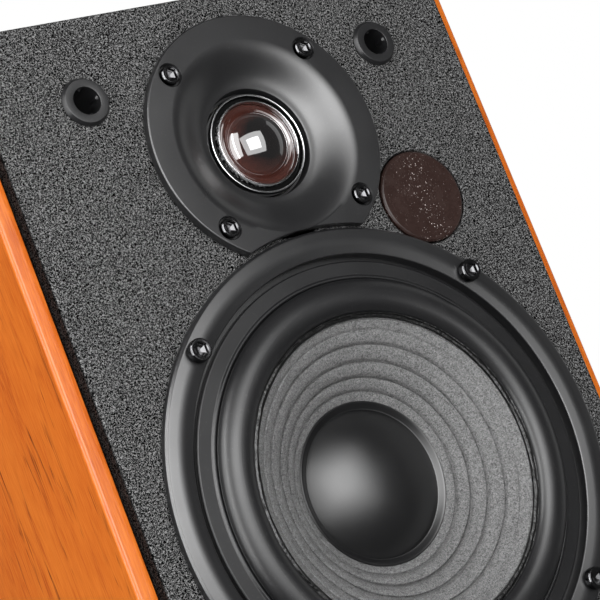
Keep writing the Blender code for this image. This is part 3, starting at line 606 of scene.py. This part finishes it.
def grille_socket(node):
    """Rubber bush with four small nubs inside its mouth, which hold the peg of a cloth grille."""
    place = middle(node)
    bore, nub, nub_width, nub_turn = 3.4, 0.6, math.radians(8), 0.15
    nub_from, nub_to = -3.0, 0.6

    def nubs(angle, r, h):
        if r < bore + 0.1 and nub_from < h < nub_to:
            off = (angle + math.pi / 4) % (math.pi / 2) - math.pi / 4 - nub_turn
            r -= nub * math.exp(-((off / nub_width) ** 2))
        return r, h

    profile = [
        (0.0, -10.2),
        (bore, -10.2, 0.5),
        (bore, -3.2),
        (bore, -2.8),
        (bore, -1.0),
        (bore, 0.3),
        (bore, 0.7),
        (bore, 1.4, 0.12),
        (5.35, 1.4, 0.18),
        (5.95, 0.4, 0.1),
        (5.85, 0.25),
        (4.6, 0.25),
        (4.6, -11.2, 0.3),
        (0.0, -11.2),
    ]
    made = turned(f"{node}_bush", profile, PAINT["rubber"], (place.x, FRONT, place.z), sides=120, vary=nubs)
    settled(made, "cabinet", node)


def sensor_window():
    """Barely domed lens with a rounded rim."""
    profile = [(0.0, 0.42), (6.0, 0.41), (11.4, 0.38, 0.4), (11.9, 0.0, 0.25), (11.9, -1.3, 0.1), (0.0, -1.3)]
    made = turned("sensor_lens", profile, PAINT["window"], (SENSOR.x, FRONT, SENSOR.z), sides=128)
    settled(made, "cabinet", "sensor_window")


# ------------------------------------------------------------- the tweeter


def hexagon(angle, corner_r):
    """How far a hexagonal hole reaches that way, from its radius over the corners."""
    off = (angle + math.pi / 6) % (math.pi / 3) - math.pi / 6
    return corner_r * math.cos(math.pi / 6) / math.cos(off)


def socket_screw(node, head_r, base, top, socket_r, knurl=0.0):
    """Cap screw with a hexagonal socket in its head, and round the head a knurl of that depth."""
    place = middle(node)
    ridges = 36

    def shaped(angle, r, h):
        if r <= socket_r + 0.01 and h < top - 0.1:
            r = hexagon(angle, r)
        elif knurl and r > head_r - 0.05 and base + 0.3 < h < top - 0.5:
            r -= knurl * (0.5 + 0.5 * math.cos(ridges * angle))
        return r, h

    profile = [
        (0.0, top - 1.9),
        (socket_r * 0.9, top - 1.2, 0.1),
        (socket_r, top - 1.15),
        (socket_r, top - 0.16),
        (socket_r + 0.14, top - 0.02, 0.05),
        (head_r - 0.3, top, 0.1),
        (head_r, top - 0.35, 0.2),
        (head_r, base + 0.35),
        (head_r, base + 0.04, 0.1),
        (1.4, base + 0.04),
        (1.4, -10.0),
        (0.0, -11.0),
    ]
    made = turned(
        f"{node}_cap", profile, PAINT["black_screw"], (place.x, FRONT, place.z), sides=144, vary=shaped
    )
    settled(made, "cabinet", node)


def faceplate():
    """Moulded plate with a shallow horn, cut to the arc of the woofer's flange."""
    outer, cut_r, drop = 31.4, 61.0, TWEETER.z - WOOFER.z
    throat_r, lip_r, floor_h, face = 14.1, 25.2, -1.9, 2.5
    bore_r, spigot_r, spigot_back, uncut_r = 13.1, 23.8, -6.5, 24.3

    def reach(angle):
        """How far the plate goes that way before the arc cuts it."""
        along = -drop * math.sin(angle)
        inside = along**2 - drop**2 + cut_r**2
        return along - math.sqrt(inside) if along > 0 and inside > 0 else 2 * outer

    def trimmed(angle, r, h):
        return (min(r, max(reach(angle) - (outer - r), uncut_r)), h) if r > uncut_r else (r, h)

    tip = math.asin((outer**2 + drop**2 - cut_r**2) / (2 * outer * drop))
    horn = []
    steps = 22
    for k in range(1, steps):
        t = k / steps
        climb = t * t * (3 - 2 * t)
        horn.append((throat_r + (lip_r - throat_r) * t, floor_h + (face - floor_h) * climb))
    profile = [
        (bore_r, -5.0, 0.1),
        (13.9, -5.0, 0.3),
        (13.95, floor_h - 0.1, 0.2),
        *horn,
        (lip_r, face),
        (outer, face, 0.4),
        (outer, 0.3, 0.1),
        (spigot_r, 0.3),
        (spigot_r, spigot_back, 0.3),
        (bore_r, spigot_back),
    ]
    ends, paint = (-tip, math.pi + tip), PAINT["faceplate"]
    made = turned("tweeter_plate", profile, paint, TWEETER_AT, sides=240, vary=trimmed, extra=ends)
    recess = [(0.0, 6.0), (3.15, 6.0), (3.15, 2.62), (2.8, 2.25), (2.8, 1.3), (0.0, 1.3)]
    tools = []
    for k in range(1, 5):
        at = middle(f"tweeter_screw_{k}")
        tools.append(turned(f"recess_{k}", recess, paint, (at.x, FRONT, at.z), sides=64))
    settled(combined(made, tools), "cabinet", "tweeter_faceplate")


def trim_ring():
    """Two beads round the dome, with a groove between them."""
    trim = [
        (12.95, -6.5),
        (12.95, -2.9, 0.3),
        (12.7, -2.1, 0.3),
        (12.3, -2.4, 0.2),
        (12.2, -3.7, 0.2),
        (11.0, -3.7, 0.2),
        (10.95, -2.1, 0.1),
        (10.75, -1.7, 0.15),
        (10.55, -1.9, 0.12),
        (10.45, -3.1, 0.1),
        (10.45, -6.5),
    ]
    made = turned("tweeter_ring", trim, PAINT["chrome"], TWEETER_AT, sides=160)
    settled(made, "cabinet", "tweeter_trim_ring")


def dome():
    """Film dome with a small roll round its edge."""
    foot, rise, edge_r, film = -3.0, 5.2, 8.9, 0.35
    roll = ((9.1, -0.12), (9.3, -0.05), (9.6, 0.16), (9.9, 0.12), (10.15, -0.1), (10.35, -0.1))
    over, ball = cap_profile(foot + rise, edge_r, rise, 24)
    over += [(r, foot + h) for r, h in roll]
    under = [(r * (1 - film / ball), h - film) for r, h in over]
    made = turned("tweeter_diaphragm", over + under[::-1], PAINT["dome_film"], TWEETER_AT, sides=128)
    settled(made, "dome", "tweeter_dome")


def tweeter():
    faceplate()
    for k in range(1, 5):
        socket_screw(f"tweeter_screw_{k}", 2.4, 1.6, 3.2, 1.6)
    trim_ring()
    dome()


# -------------------------------------------------------------- the woofer


def woofer_frame():
    """Pressed basket with six windows in its wall, and the four screws that hold its flange."""
    profile = [
        (53.3, -0.5),
        (53.3, 2.25, 0.4),
        (56.4, 2.98, 6.0),
        (59.2, 2.48, 0.3),
        (59.5, 2.4, 0.25),
        (60.1, 1.8, 0.35),
        (60.1, 0.4, 0.1),
        (59.9, 0.3),
        (53.5, 0.3),
        (53.5, -2.6, 0.4),
        (51.9, -4.2, 0.4),
        (37.0, -24.5, 1.5),
        (37.0, -29.7, 0.5),
        (16.0, -29.7),
        (16.0, -28.2),
        (33.0, -28.2, 0.5),
        (33.0, -22.5, 0.3),
        (35.2, -22.5, 0.5),
        (50.0, -2.3, 0.3),
        (46.8, -2.3, 0.2),
        (46.8, -0.5, 0.2),
    ]
    made = turned("woofer_basket", profile, PAINT["frame_paint"], WOOFER_AT, sides=192)
    windows, window_size, window_r, window_deep, window_round = 6, (20.0, 12.0, 20.0), 45.0, 14.5, 2.0
    tools = []
    for k in range(windows):
        turn = math.tau * (k + 0.5) / windows
        out, up = window_r * math.cos(turn), window_r * math.sin(turn)
        at = (WOOFER.x + out, FRONT + window_deep, WOOFER.z + up)
        facing = Euler((0.0, -turn, 0.0))
        name = f"basket_window_{k}"
        tools.append(block(name, window_size, PAINT["frame_paint"], at, window_round, 3, facing))
    settled(combined(made, tools), "cabinet", "woofer_frame")
    for k in range(1, 5):
        socket_screw(f"woofer_screw_{k}", 2.75, 3.3, 5.3, 1.75, 0.07)


def surround():
    """Rubber half roll, split at its crest, with its outer half on the frame."""
    roll_out, roll_in, foot_out, foot_in, rise, skin = 47.2, 38.6, 1.2, 2.4, 3.2, 0.7
    centre, half, steps = (roll_out + roll_in) / 2, (roll_out - roll_in) / 2, 40

    def roll(first, last, offset):
        points = []
        for k in range(first, last + 1):
            a = math.pi * k / steps
            base = foot_out + (foot_in - foot_out) * k / steps
            points.append((centre + (half - offset) * math.cos(a), base + (rise - offset) * math.sin(a)))
        return points

    crest = steps // 2
    outer_over = [
        (51.95, foot_out - 0.25, 0.25),
        (51.6, foot_out, 0.3),
        (48.35, foot_out, 0.3),
        (47.95, foot_out + 0.4, 0.2),
        (47.55, foot_out + 0.4, 0.2),
        (46.95, foot_out - 0.3, 0.3),
        (46.5, foot_out - 0.1, 0.3),
    ]
    outer_over += roll(3, crest, 0.0)
    outer_under = roll(3, crest, skin)[::-1] + [(46.3, foot_out - 1.0, 0.2), (47.5, -0.2), (51.95, -0.2)]
    outer = turned("surround_outer_half", outer_over + outer_under, PAINT["rubber"], WOOFER_AT, sides=192)
    settled(outer, "cabinet", "woofer_surround")
    inner_over = roll(crest, steps - 1, 0.0) + [(38.5, foot_in - 0.06), (38.3, foot_in), (37.6, foot_in, 0.1)]
    inner_under = [(37.6, foot_in - 0.5), (38.6, foot_in - 0.5)] + roll(crest, steps - 1, skin)[::-1]
    inner = turned("surround_inner_half", inner_over + inner_under, PAINT["rubber"], WOOFER_AT, sides=192)
    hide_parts("woofer_surround")

    def lumpy(angle, r, h):
        """The bead was laid by hand, so its width and height wander."""
        along = Vector((math.cos(angle) * 7.0, math.sin(angle) * 7.0, r * 0.9))
        wander, fine = noise.noise(along), noise.noise(along * 5.0)
        if h > foot_in + 0.12 and r < 39.9:
            h += 0.1 * wander + 0.06 * fine
            r += 0.2 * wander + 0.1 * fine
        return r, h

    bead = [
        (37.3, foot_in + 0.06),
        (37.35, foot_in + 0.35, 0.15),
        (37.9, foot_in + 0.5, 0.3),
        (38.35, foot_in + 0.3, 0.15),
        (38.6, foot_in + 0.35, 0.15),
        (39.05, foot_in + 0.85, 0.25),
        (39.35, foot_in + 1.25, 0.2),
        (39.5, foot_in + 1.35, 0.1),
        (39.55, foot_in + 1.0),
        (38.85, foot_in + 0.2),
        (38.3, foot_in + 0.05),
    ]
    glue_bead = turned("surround_glue", bead, GLUE, WOOFER_AT, sides=384, vary=lumpy)
    for piece in (inner, glue_bead):
        shaded(piece)
        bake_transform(piece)


def cone():
    """Paper cone, pressed into rounded terraces with a groove at the foot of each."""
    shape = [(38.0, 1.55), (37.0, 1.9), (28.0, -4.2), (20.2, -10.0), (13.3, -14.8)]
    neck_r, neck_h = shape[-1]
    thick, bulge, groove_w = 0.8, 0.55, 0.22
    grooves, depths = (34.9, 32.0, 28.4, 25.2, 22.3), (0.2, 0.6, 0.7, 0.7, 0.6)
    terraces = list(zip((37.6,) + grooves, grooves + (19.2,), (0.3, 0.6, 1.0, 1.0, 1.0, 0.7)))

    def level(r):
        for (r_out, h_out), (r_in, h_in) in zip(shape, shape[1:]):
            if r >= r_in:
                return h_in + (h_out - h_in) * (r - r_in) / (r_out - r_in)
        return neck_h

    def surface(r):
        h = level(r)
        for outer, inner, share in terraces:
            if inner <= r < outer:
                h += bulge * share * math.sin(math.pi * ((r - inner) / (outer - inner)) ** 0.75)
        return h - sum(deep * math.exp(-(((r - g) / groove_w) ** 2)) for g, deep in zip(grooves, depths))

    front = [(37.2, 1.6), (37.2, 2.2), (37.05, 2.3)]
    step, r = 0.13, 36.9
    while r > 19.0:
        front.append((r, surface(r)))
        r -= step
    front += [(16.5, level(16.5)), (neck_r, neck_h)]
    back = [(r, h - thick) for r, h in reversed(shape[1:])] + [(38.2, 0.9), (38.2, 1.6)]
    made = turned("cone_body", front + back, PAINT["cone_paper"], WOOFER_AT, sides=192)
    settled(made, "cone", "woofer_cone")


def dust_cap():
    """Domed cap with a narrow lip that is glued to the cone."""
    top, edge_r, rise = -4.2, 17.9, 5.8
    over, _ = cap_profile(top, edge_r, rise, 28)
    over += [(18.15, -10.25), (18.5, -10.2), (19.3, -9.55), (19.8, -9.35), (20.1, -9.6)]
    under = [(20.1, -9.95), (19.4, -10.1), (18.4, -10.8), (17.8, -10.9)]
    under += [(13.5, -8.9), (9.0, -7.1), (4.5, -5.9), (0.0, -5.4)]
    cap = turned("dust_cap_shell", over + under, PAINT["dust_cap"], WOOFER_AT, sides=160)
    settled(cap, "cone", "woofer_dust_cap")


def spider():
    """Ribbed cloth disc in eight sectors."""
    inner_r, rim_r, outer_r, base = 13.4, 32.0, 34.6, -21.6
    wave, cloth_t, ribs, sectors = 1.0, 0.5, 7, 8
    over, steps = [], 48
    for k in range(steps + 1):
        share = k / steps
        r = inner_r + (rim_r - inner_r) * share
        lift = wave * math.sin(math.pi * (ribs - 1) * share) * min(1.0, 4 * share, 4 * (1 - share))
        over.append((r, base + lift))
    over.append((outer_r, base))
    under = [(r, h - cloth_t) for r, h in over]
    half = math.pi / sectors
    for k in range(sectors):
        turn = 2 * half * k
        name, sector = f"spider_sector_{k + 1}", (turn - half, turn + half)
        piece = turned(name, over + under[::-1], PAINT["spider_cloth"], WOOFER_AT, sides=16, sector=sector)
        shaded(piece)
        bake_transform(piece)
        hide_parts("woofer_spider")
    replaced_nodes.add("woofer_spider")


def port():
    """Reflex tube with a flared mouth, set in the baffle."""
    profile = [
        (17.2, 1.5, 1.0),
        (18.7, 1.45, 0.4),
        (19.0, 0.9, 0.3),
        (19.0, 0.3, 0.1),
        (15.2, 0.3),
        (15.2, -75.0, 0.4),
        (13.5, -75.0, 0.4),
        (13.5, -7.0, 9.0),
        (14.5, -1.0, 4.0),
    ]
    made = turned("port_sleeve", profile, PAINT["black_plastic"], (PORT.x, FRONT, PORT.z), sides=128)
    settled(made, "cabinet", "port_tube")


# ------------------------------------------------- the amplifier on the back


def at_plate(place, out=0.0):
    """A place on the amplifier plate, that far out from its outer face."""
    return (place.x, PLATE_OUT + out, place.z)


def opening(node, wide, tall):
    """A hole in the amplifier plate behind a node. Seen from behind, X runs the other way."""
    place = middle(node)
    return rectangle((-place.x, place.z), wide, tall, 0.8, 3)


def amplifier_plate():
    """Rounded aluminium plate, open behind the terminals, the inlet, the switch and each knob's shaft."""
    low, high = (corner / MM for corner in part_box("amp_plate"))
    wide, thick, tall = high - low
    place = (0.0, PLATE_OUT, 0.0)
    holes = [
        opening("terminal_block", 36.0, 20.0),
        opening("mains_inlet", 25.0, 17.0),
        opening("switch_housing", 13.0, 22.0),
    ]
    for name in KNOBS:
        shaft = middle(name)
        holes.append(circle((-shaft.x, shaft.z), 3.5, 48))
    outline = rectangle((0.0, (low.z + high.z) / 2), wide, tall, 2.5, 8)
    made = plate("amplifier_plate", outline, holes, thick, 0.3, PAINT["black_aluminium"], place, BEHIND)
    settled(made, "cabinet", "amp_plate")


def cross_screw(node):
    """Pan head with a cross recess."""
    place = middle(node)
    profile = [
        (0.0, 2.25),
        (1.2, 2.15, 0.5),
        (2.4, 1.6, 1.0),
        (3.0, 0.6, 0.3),
        (3.0, 0.3, 0.1),
        (1.4, 0.3),
        (1.4, -8.0),
        (0.0, -9.0),
    ]
    made = turned(f"{node}_head", profile, PAINT["black_screw"], at_plate(place), BEHIND, 72)
    tools = [
        block(f"{node}_slot_{k}", size, PAINT["black_screw"], at_plate(place, 2.0), 0.1, 1)
        for k, size in enumerate(((3.0, 1.8, 0.7), (0.7, 1.8, 3.0)))
    ]
    settled(combined(made, tools), "cabinet", node)


def knob(node):
    """Fluted knob with a white pointer line let into its top edge."""
    place = middle(node)
    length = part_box(node)[1].y / MM - PLATE_OUT
    knob_r, shaft_r, skirt_r, skirt_from, flutes, flute = 8.0, 2.9, 8.4, 0.9, 30, 0.28
    fluted_r, fluted_from, fluted_to = 7.4, 2.6, length - 0.9

    def fluted(angle, r, h):
        if r > fluted_r and fluted_from < h < fluted_to:
            r -= flute * (0.5 - 0.5 * math.cos(flutes * angle)) ** 2
        return r, h

    profile = [
        (0.0, length - 0.25),
        (4.6, length - 0.25, 0.5),
        (5.2, length, 0.4),
        (7.0, length, 0.5),
        (7.75, length - 0.7, 0.4),
        (7.8, length - 1.0),
        (knob_r, 2.7),
        (8.1, 2.5, 0.1),
        (skirt_r, 2.3, 0.2),
        (skirt_r, skirt_from, 0.25),
        (shaft_r, skirt_from),
        (shaft_r, -9.0),
        (0.0, -9.0),
    ]
    made = turned(f"{node}_grip", profile, PAINT["black_plastic"], at_plate(place), BEHIND, 360, fluted)
    settled(made, node, node)
    size, up, at = (0.9, 0.5, 4.6), (0.0, 0.0, 4.9), at_plate(place, length - 0.02)
    settled(block(f"{node}_pointer", size, WHITE_PLASTIC, at, 0.12, 2, shift=up), node)


def phono_inputs():
    """A moulded plate with two pairs of sockets: a plated shell round a coloured bush in each."""
    low, high = (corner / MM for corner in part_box("phono_panel"))
    centre, thick, stand = (low + high) / 2, 2.0, 2.3
    sockets = corners(10.0, 8.0)
    outline = rectangle((-centre.x, centre.z), high.x - low.x, high.z - low.z, 2.0, 6)
    holes = [circle((-centre.x + x, centre.z + z), 2.2, 40) for x, z in sockets]
    place = (0.0, PLATE_OUT + stand, 0.0)
    made = plate("phono_plate", outline, holes, thick, 0.35, PAINT["black_plastic"], place, BEHIND)
    settled(made, "cabinet", "phono_panel")
    shell = [(4.2, 1.9), (4.2, 2.5, 0.1), (4.15, 9.4, 0.1), (3.95, 9.9, 0.2), (3.6, 9.95, 0.1), (3.55, 1.9)]
    bush = [(1.7, 9.5, 0.2), (3.45, 9.5, 0.25), (3.45, 2.0), (1.7, 2.0)]
    flare = [(5.6, 2.35), (5.6, 2.9, 0.2), (4.3, 3.1, 0.1), (4.3, 2.35)]
    for k, (x, z) in enumerate(sockets, 1):
        place = (centre.x + x, PLATE_OUT, centre.z + z)
        settled(turned(f"phono_shell_{k}", shell, NICKEL, place, BEHIND, 72))
        settled(turned(f"phono_washer_{k}", flare, NICKEL, place, BEHIND, 72))
        colour = PAINT["red_plastic"] if x < 0 else WHITE_PLASTIC
        settled(turned(f"phono_bush_{k}", bush, colour, place, BEHIND, 72))


def lever(node, colour):
    """Press lever with a ribbed thumb face, tilted out from the terminal."""
    tilt, wide, thick, long = math.radians(25.0), 11.0, 2.3, 12.0
    pivot_out, pivot_up = 5.0, 5.5
    rib_size, first_rib, rib_step = (wide - 2.0, 0.7, 0.7), -6.0, 1.3
    pivot = (middle(node).x, PLATE_OUT + pivot_out, middle("terminal_block").z + pivot_up)
    facing = Euler((tilt, 0.0, 0.0))
    down = (0.0, 0.0, -(long / 2 - thick / 2))
    made = block(f"{node}_tab", (wide, thick, long), colour, pivot, 0.5, 3, facing, down)
    ribs = []
    for k in range(4):
        shift = (0.0, thick / 2, first_rib - rib_step * k)
        ribs.append(block(f"{node}_rib_{k}", rib_size, colour, pivot, 0.2, 2, facing, shift))
    settled(combined(made, ribs, "UNION"), "red_lever" if "red" in node else "black_lever", node)


def rocker():
    """Rocker with one long hollow over its face, resting on its off side."""
    width, half_long, foot, half_foot, shoulder = 9.8, 8.2, -2.0, 6.0, 1.0
    face, hollow, tilt, pivot_out = 4.2, 2.0, math.radians(-10.0), 3.0
    centre = middle("switch_housing")
    place = (centre.x, PLATE_OUT + pivot_out, centre.z)
    side_view = [(foot, -half_foot), (shoulder, -half_long), (face, -half_long)]
    steps = 12
    for k in range(1, steps):
        along = -half_long + 2 * half_long * k / steps
        side_view.append((face - hollow * math.cos(math.pi * along / (2 * half_long)) ** 0.8, along))
    side_view += [(face, half_long), (shoulder, half_long), (foot, half_foot)]
    shape = bmesh.new()
    faces = []
    for x in (-width / 2, width / 2):
        faces.append([shape.verts.new((x * MM, y * MM, z * MM)) for y, z in side_view])
    for ring in faces:
        shape.faces.new(ring)
    for k in range(len(side_view)):
        n = (k + 1) % len(side_view)
        shape.faces.new((faces[0][k], faces[0][n], faces[1][n], faces[1][k]))
    bmesh.ops.recalc_face_normals(shape, faces=shape.faces)
    round_off(shape, hard_edges(shape, math.radians(30)), 0.35, 3)
    made = to_object("power_rocker", shape, PAINT["black_plastic"], place, Euler((tilt, 0.0, 0.0)))
    settled(made, "rocker", "switch_rocker")


def back():
    amplifier_plate()
    for k in range(1, 5):
        cross_screw(f"plate_screw_{k}")
    for name in KNOBS:
        knob(name)
    phono_inputs()
    lever("terminal_lever_red", PAINT["red_plastic"])
    lever("terminal_lever_black", PAINT["black_plastic"])
    rocker()


def carried_over():
    """CAD nodes whose shape is right keep it, with softened edges and a finished material."""
    softened = {
        "cabinet_wrap": 0.7,
        "rear_panel": 0.6,
        "terminal_block": 0.4,
        "mains_inlet": 0.35,
        "switch_housing": 0.4,
        "heat_sink": 0.35,
        "transformer": 0.6,
    }
    for name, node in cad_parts.items():
        if name in replaced_nodes:
            continue
        slot = node.data.materials[0].name.split(".")[0]
        node.data.materials[0] = PAINT[slot]
        node.data.shade_smooth()
        node.data.set_sharp_from_angle(angle=SMOOTH_BELOW)
        if name in softened:
            edge = node.modifiers.new("soft_edges", "BEVEL")
            edge.width = softened[name] * MM
            edge.segments = 3
            edge.limit_method = "ANGLE"
            edge.angle_limit = HARD_ABOVE
            edge.harden_normals = True
            edge.use_clamp_overlap = True


# ------------------------------------------------------ light, floor, camera


def softbox(name, azimuth, elevation, wide, tall, radiance, away=1000.0, aim=(0.0, 0.0, 130.0)):
    """A soft rectangle of light. Azimuth 0 is in front of the speaker, and 90 is right as one faces it."""
    a, e = math.radians(azimuth), math.radians(elevation)
    out = Vector((math.sin(a) * math.cos(e), -math.cos(a) * math.cos(e), math.sin(e)))
    light = bpy.data.lights.new(name, "AREA")
    light.shape = "RECTANGLE"
    light.size, light.size_y = wide * MM, tall * MM
    light.energy = 4 * light.size * light.size_y * radiance
    made = bpy.data.objects.new(name, light)
    bpy.context.scene.collection.objects.link(made)
    made.location = (Vector(aim) + out * away) * MM
    made.rotation_euler = out.to_track_quat("Z", "Y").to_euler()
    made.visible_camera = False


def studio():
    """Soft light, most of it from the front and left, before a white background that gives little."""
    front_aim = (0.0, -93.0, 150.0)
    softbox("front_softbox", -9.0, 9.0, 600.0, 560.0, 2.3, 500.0, front_aim)
    softbox("front_core", -9.0, 9.0, 300.0, 280.0, 4.2, 490.0, front_aim)
    softbox("left_softbox", -65.0, 18.0, 800.0, 1300.0, 3.4)
    softbox("left_strip", -57.0, 18.0, 45.0, 1300.0, 15.0, 980.0)
    softbox("right_fill", 95.0, 12.0, 1200.0, 1200.0, 0.35)
    softbox("rear_softbox", 150.0, 30.0, 1000.0, 900.0, 1.8)
    world = bpy.data.worlds.new("studio")
    world.use_nodes = True
    tree = world.node_tree
    tree.nodes.clear()
    dim, white = (tree.nodes.new("ShaderNodeBackground") for _ in range(2))
    for background in (dim, white):
        background.inputs["Color"].default_value = (1.0, 1.0, 1.0, 1.0)
    dim.inputs["Strength"].default_value = 0.1
    rays = tree.nodes.new("ShaderNodeLightPath")
    choice = tree.nodes.new("ShaderNodeMixShader")
    output = tree.nodes.new("ShaderNodeOutputWorld")
    tree.links.new(rays.outputs["Is Camera Ray"], choice.inputs[0])
    tree.links.new(dim.outputs[0], choice.inputs[1])
    tree.links.new(white.outputs[0], choice.inputs[2])
    tree.links.new(choice.outputs[0], output.inputs["Surface"])
    bpy.context.scene.world = world
    bpy.context.scene.view_settings.view_transform = "Standard"


def floor():
    """Pale matt ground, left out of reflections."""
    half_side = 800.0
    shape = bmesh.new()
    bmesh.ops.create_grid(shape, x_segments=1, y_segments=1, size=half_side * MM)
    pale = Surface("floor", (0.8, 0.8, 0.8), 0.6)
    grain = pale.noise(0.004, 3.0)
    pale.set("Base Color", pale.mix(grain, (0.78, 0.78, 0.78), (0.82, 0.82, 0.82)))
    made = to_object("floor", shape, pale.material)
    made.visible_glossy = False


def camera():
    """Close to the front, low on the left, looking a little up and rolled."""
    azimuth, elevation, roll = math.radians(34.3), math.radians(8.01), math.radians(-21.6)
    from_woofer, lens, sensor = Vector((-266.29, -379.95, -19.26)), 119.147, 36.0
    flat = math.cos(elevation)
    ahead = Vector((math.sin(azimuth) * flat, math.cos(azimuth) * flat, math.sin(elevation)))
    level = ahead.cross(Vector((0.0, 0.0, 1.0))).normalized()
    above = level.cross(ahead)
    right = level * math.cos(roll) + above * math.sin(roll)
    up = right.cross(ahead)
    made = bpy.data.objects.new("camera", bpy.data.cameras.new("camera"))
    bpy.context.scene.collection.objects.link(made)
    made.data.sensor_width = sensor
    made.data.lens = lens
    place = Vector(WOOFER_AT) + from_woofer
    turn = Matrix((right, up, -ahead)).transposed().to_4x4()
    made.matrix_world = Matrix.Translation(place * MM) @ turn
    bpy.context.scene.camera = made


for leftover in ("Cube", "Light", "Camera"):
    if leftover in bpy.data.objects:
        bpy.data.objects.remove(bpy.data.objects[leftover])

camera()
baffle()
cheek("side_cheek_left", -1)
cheek("side_cheek_right", 1)
feet()
for socket in SOCKETS:
    grille_socket(socket)
sensor_window()
tweeter()
woofer_frame()
surround()
cone()
dust_cap()
spider()
port()
back()
carried_over()
studio()
floor()
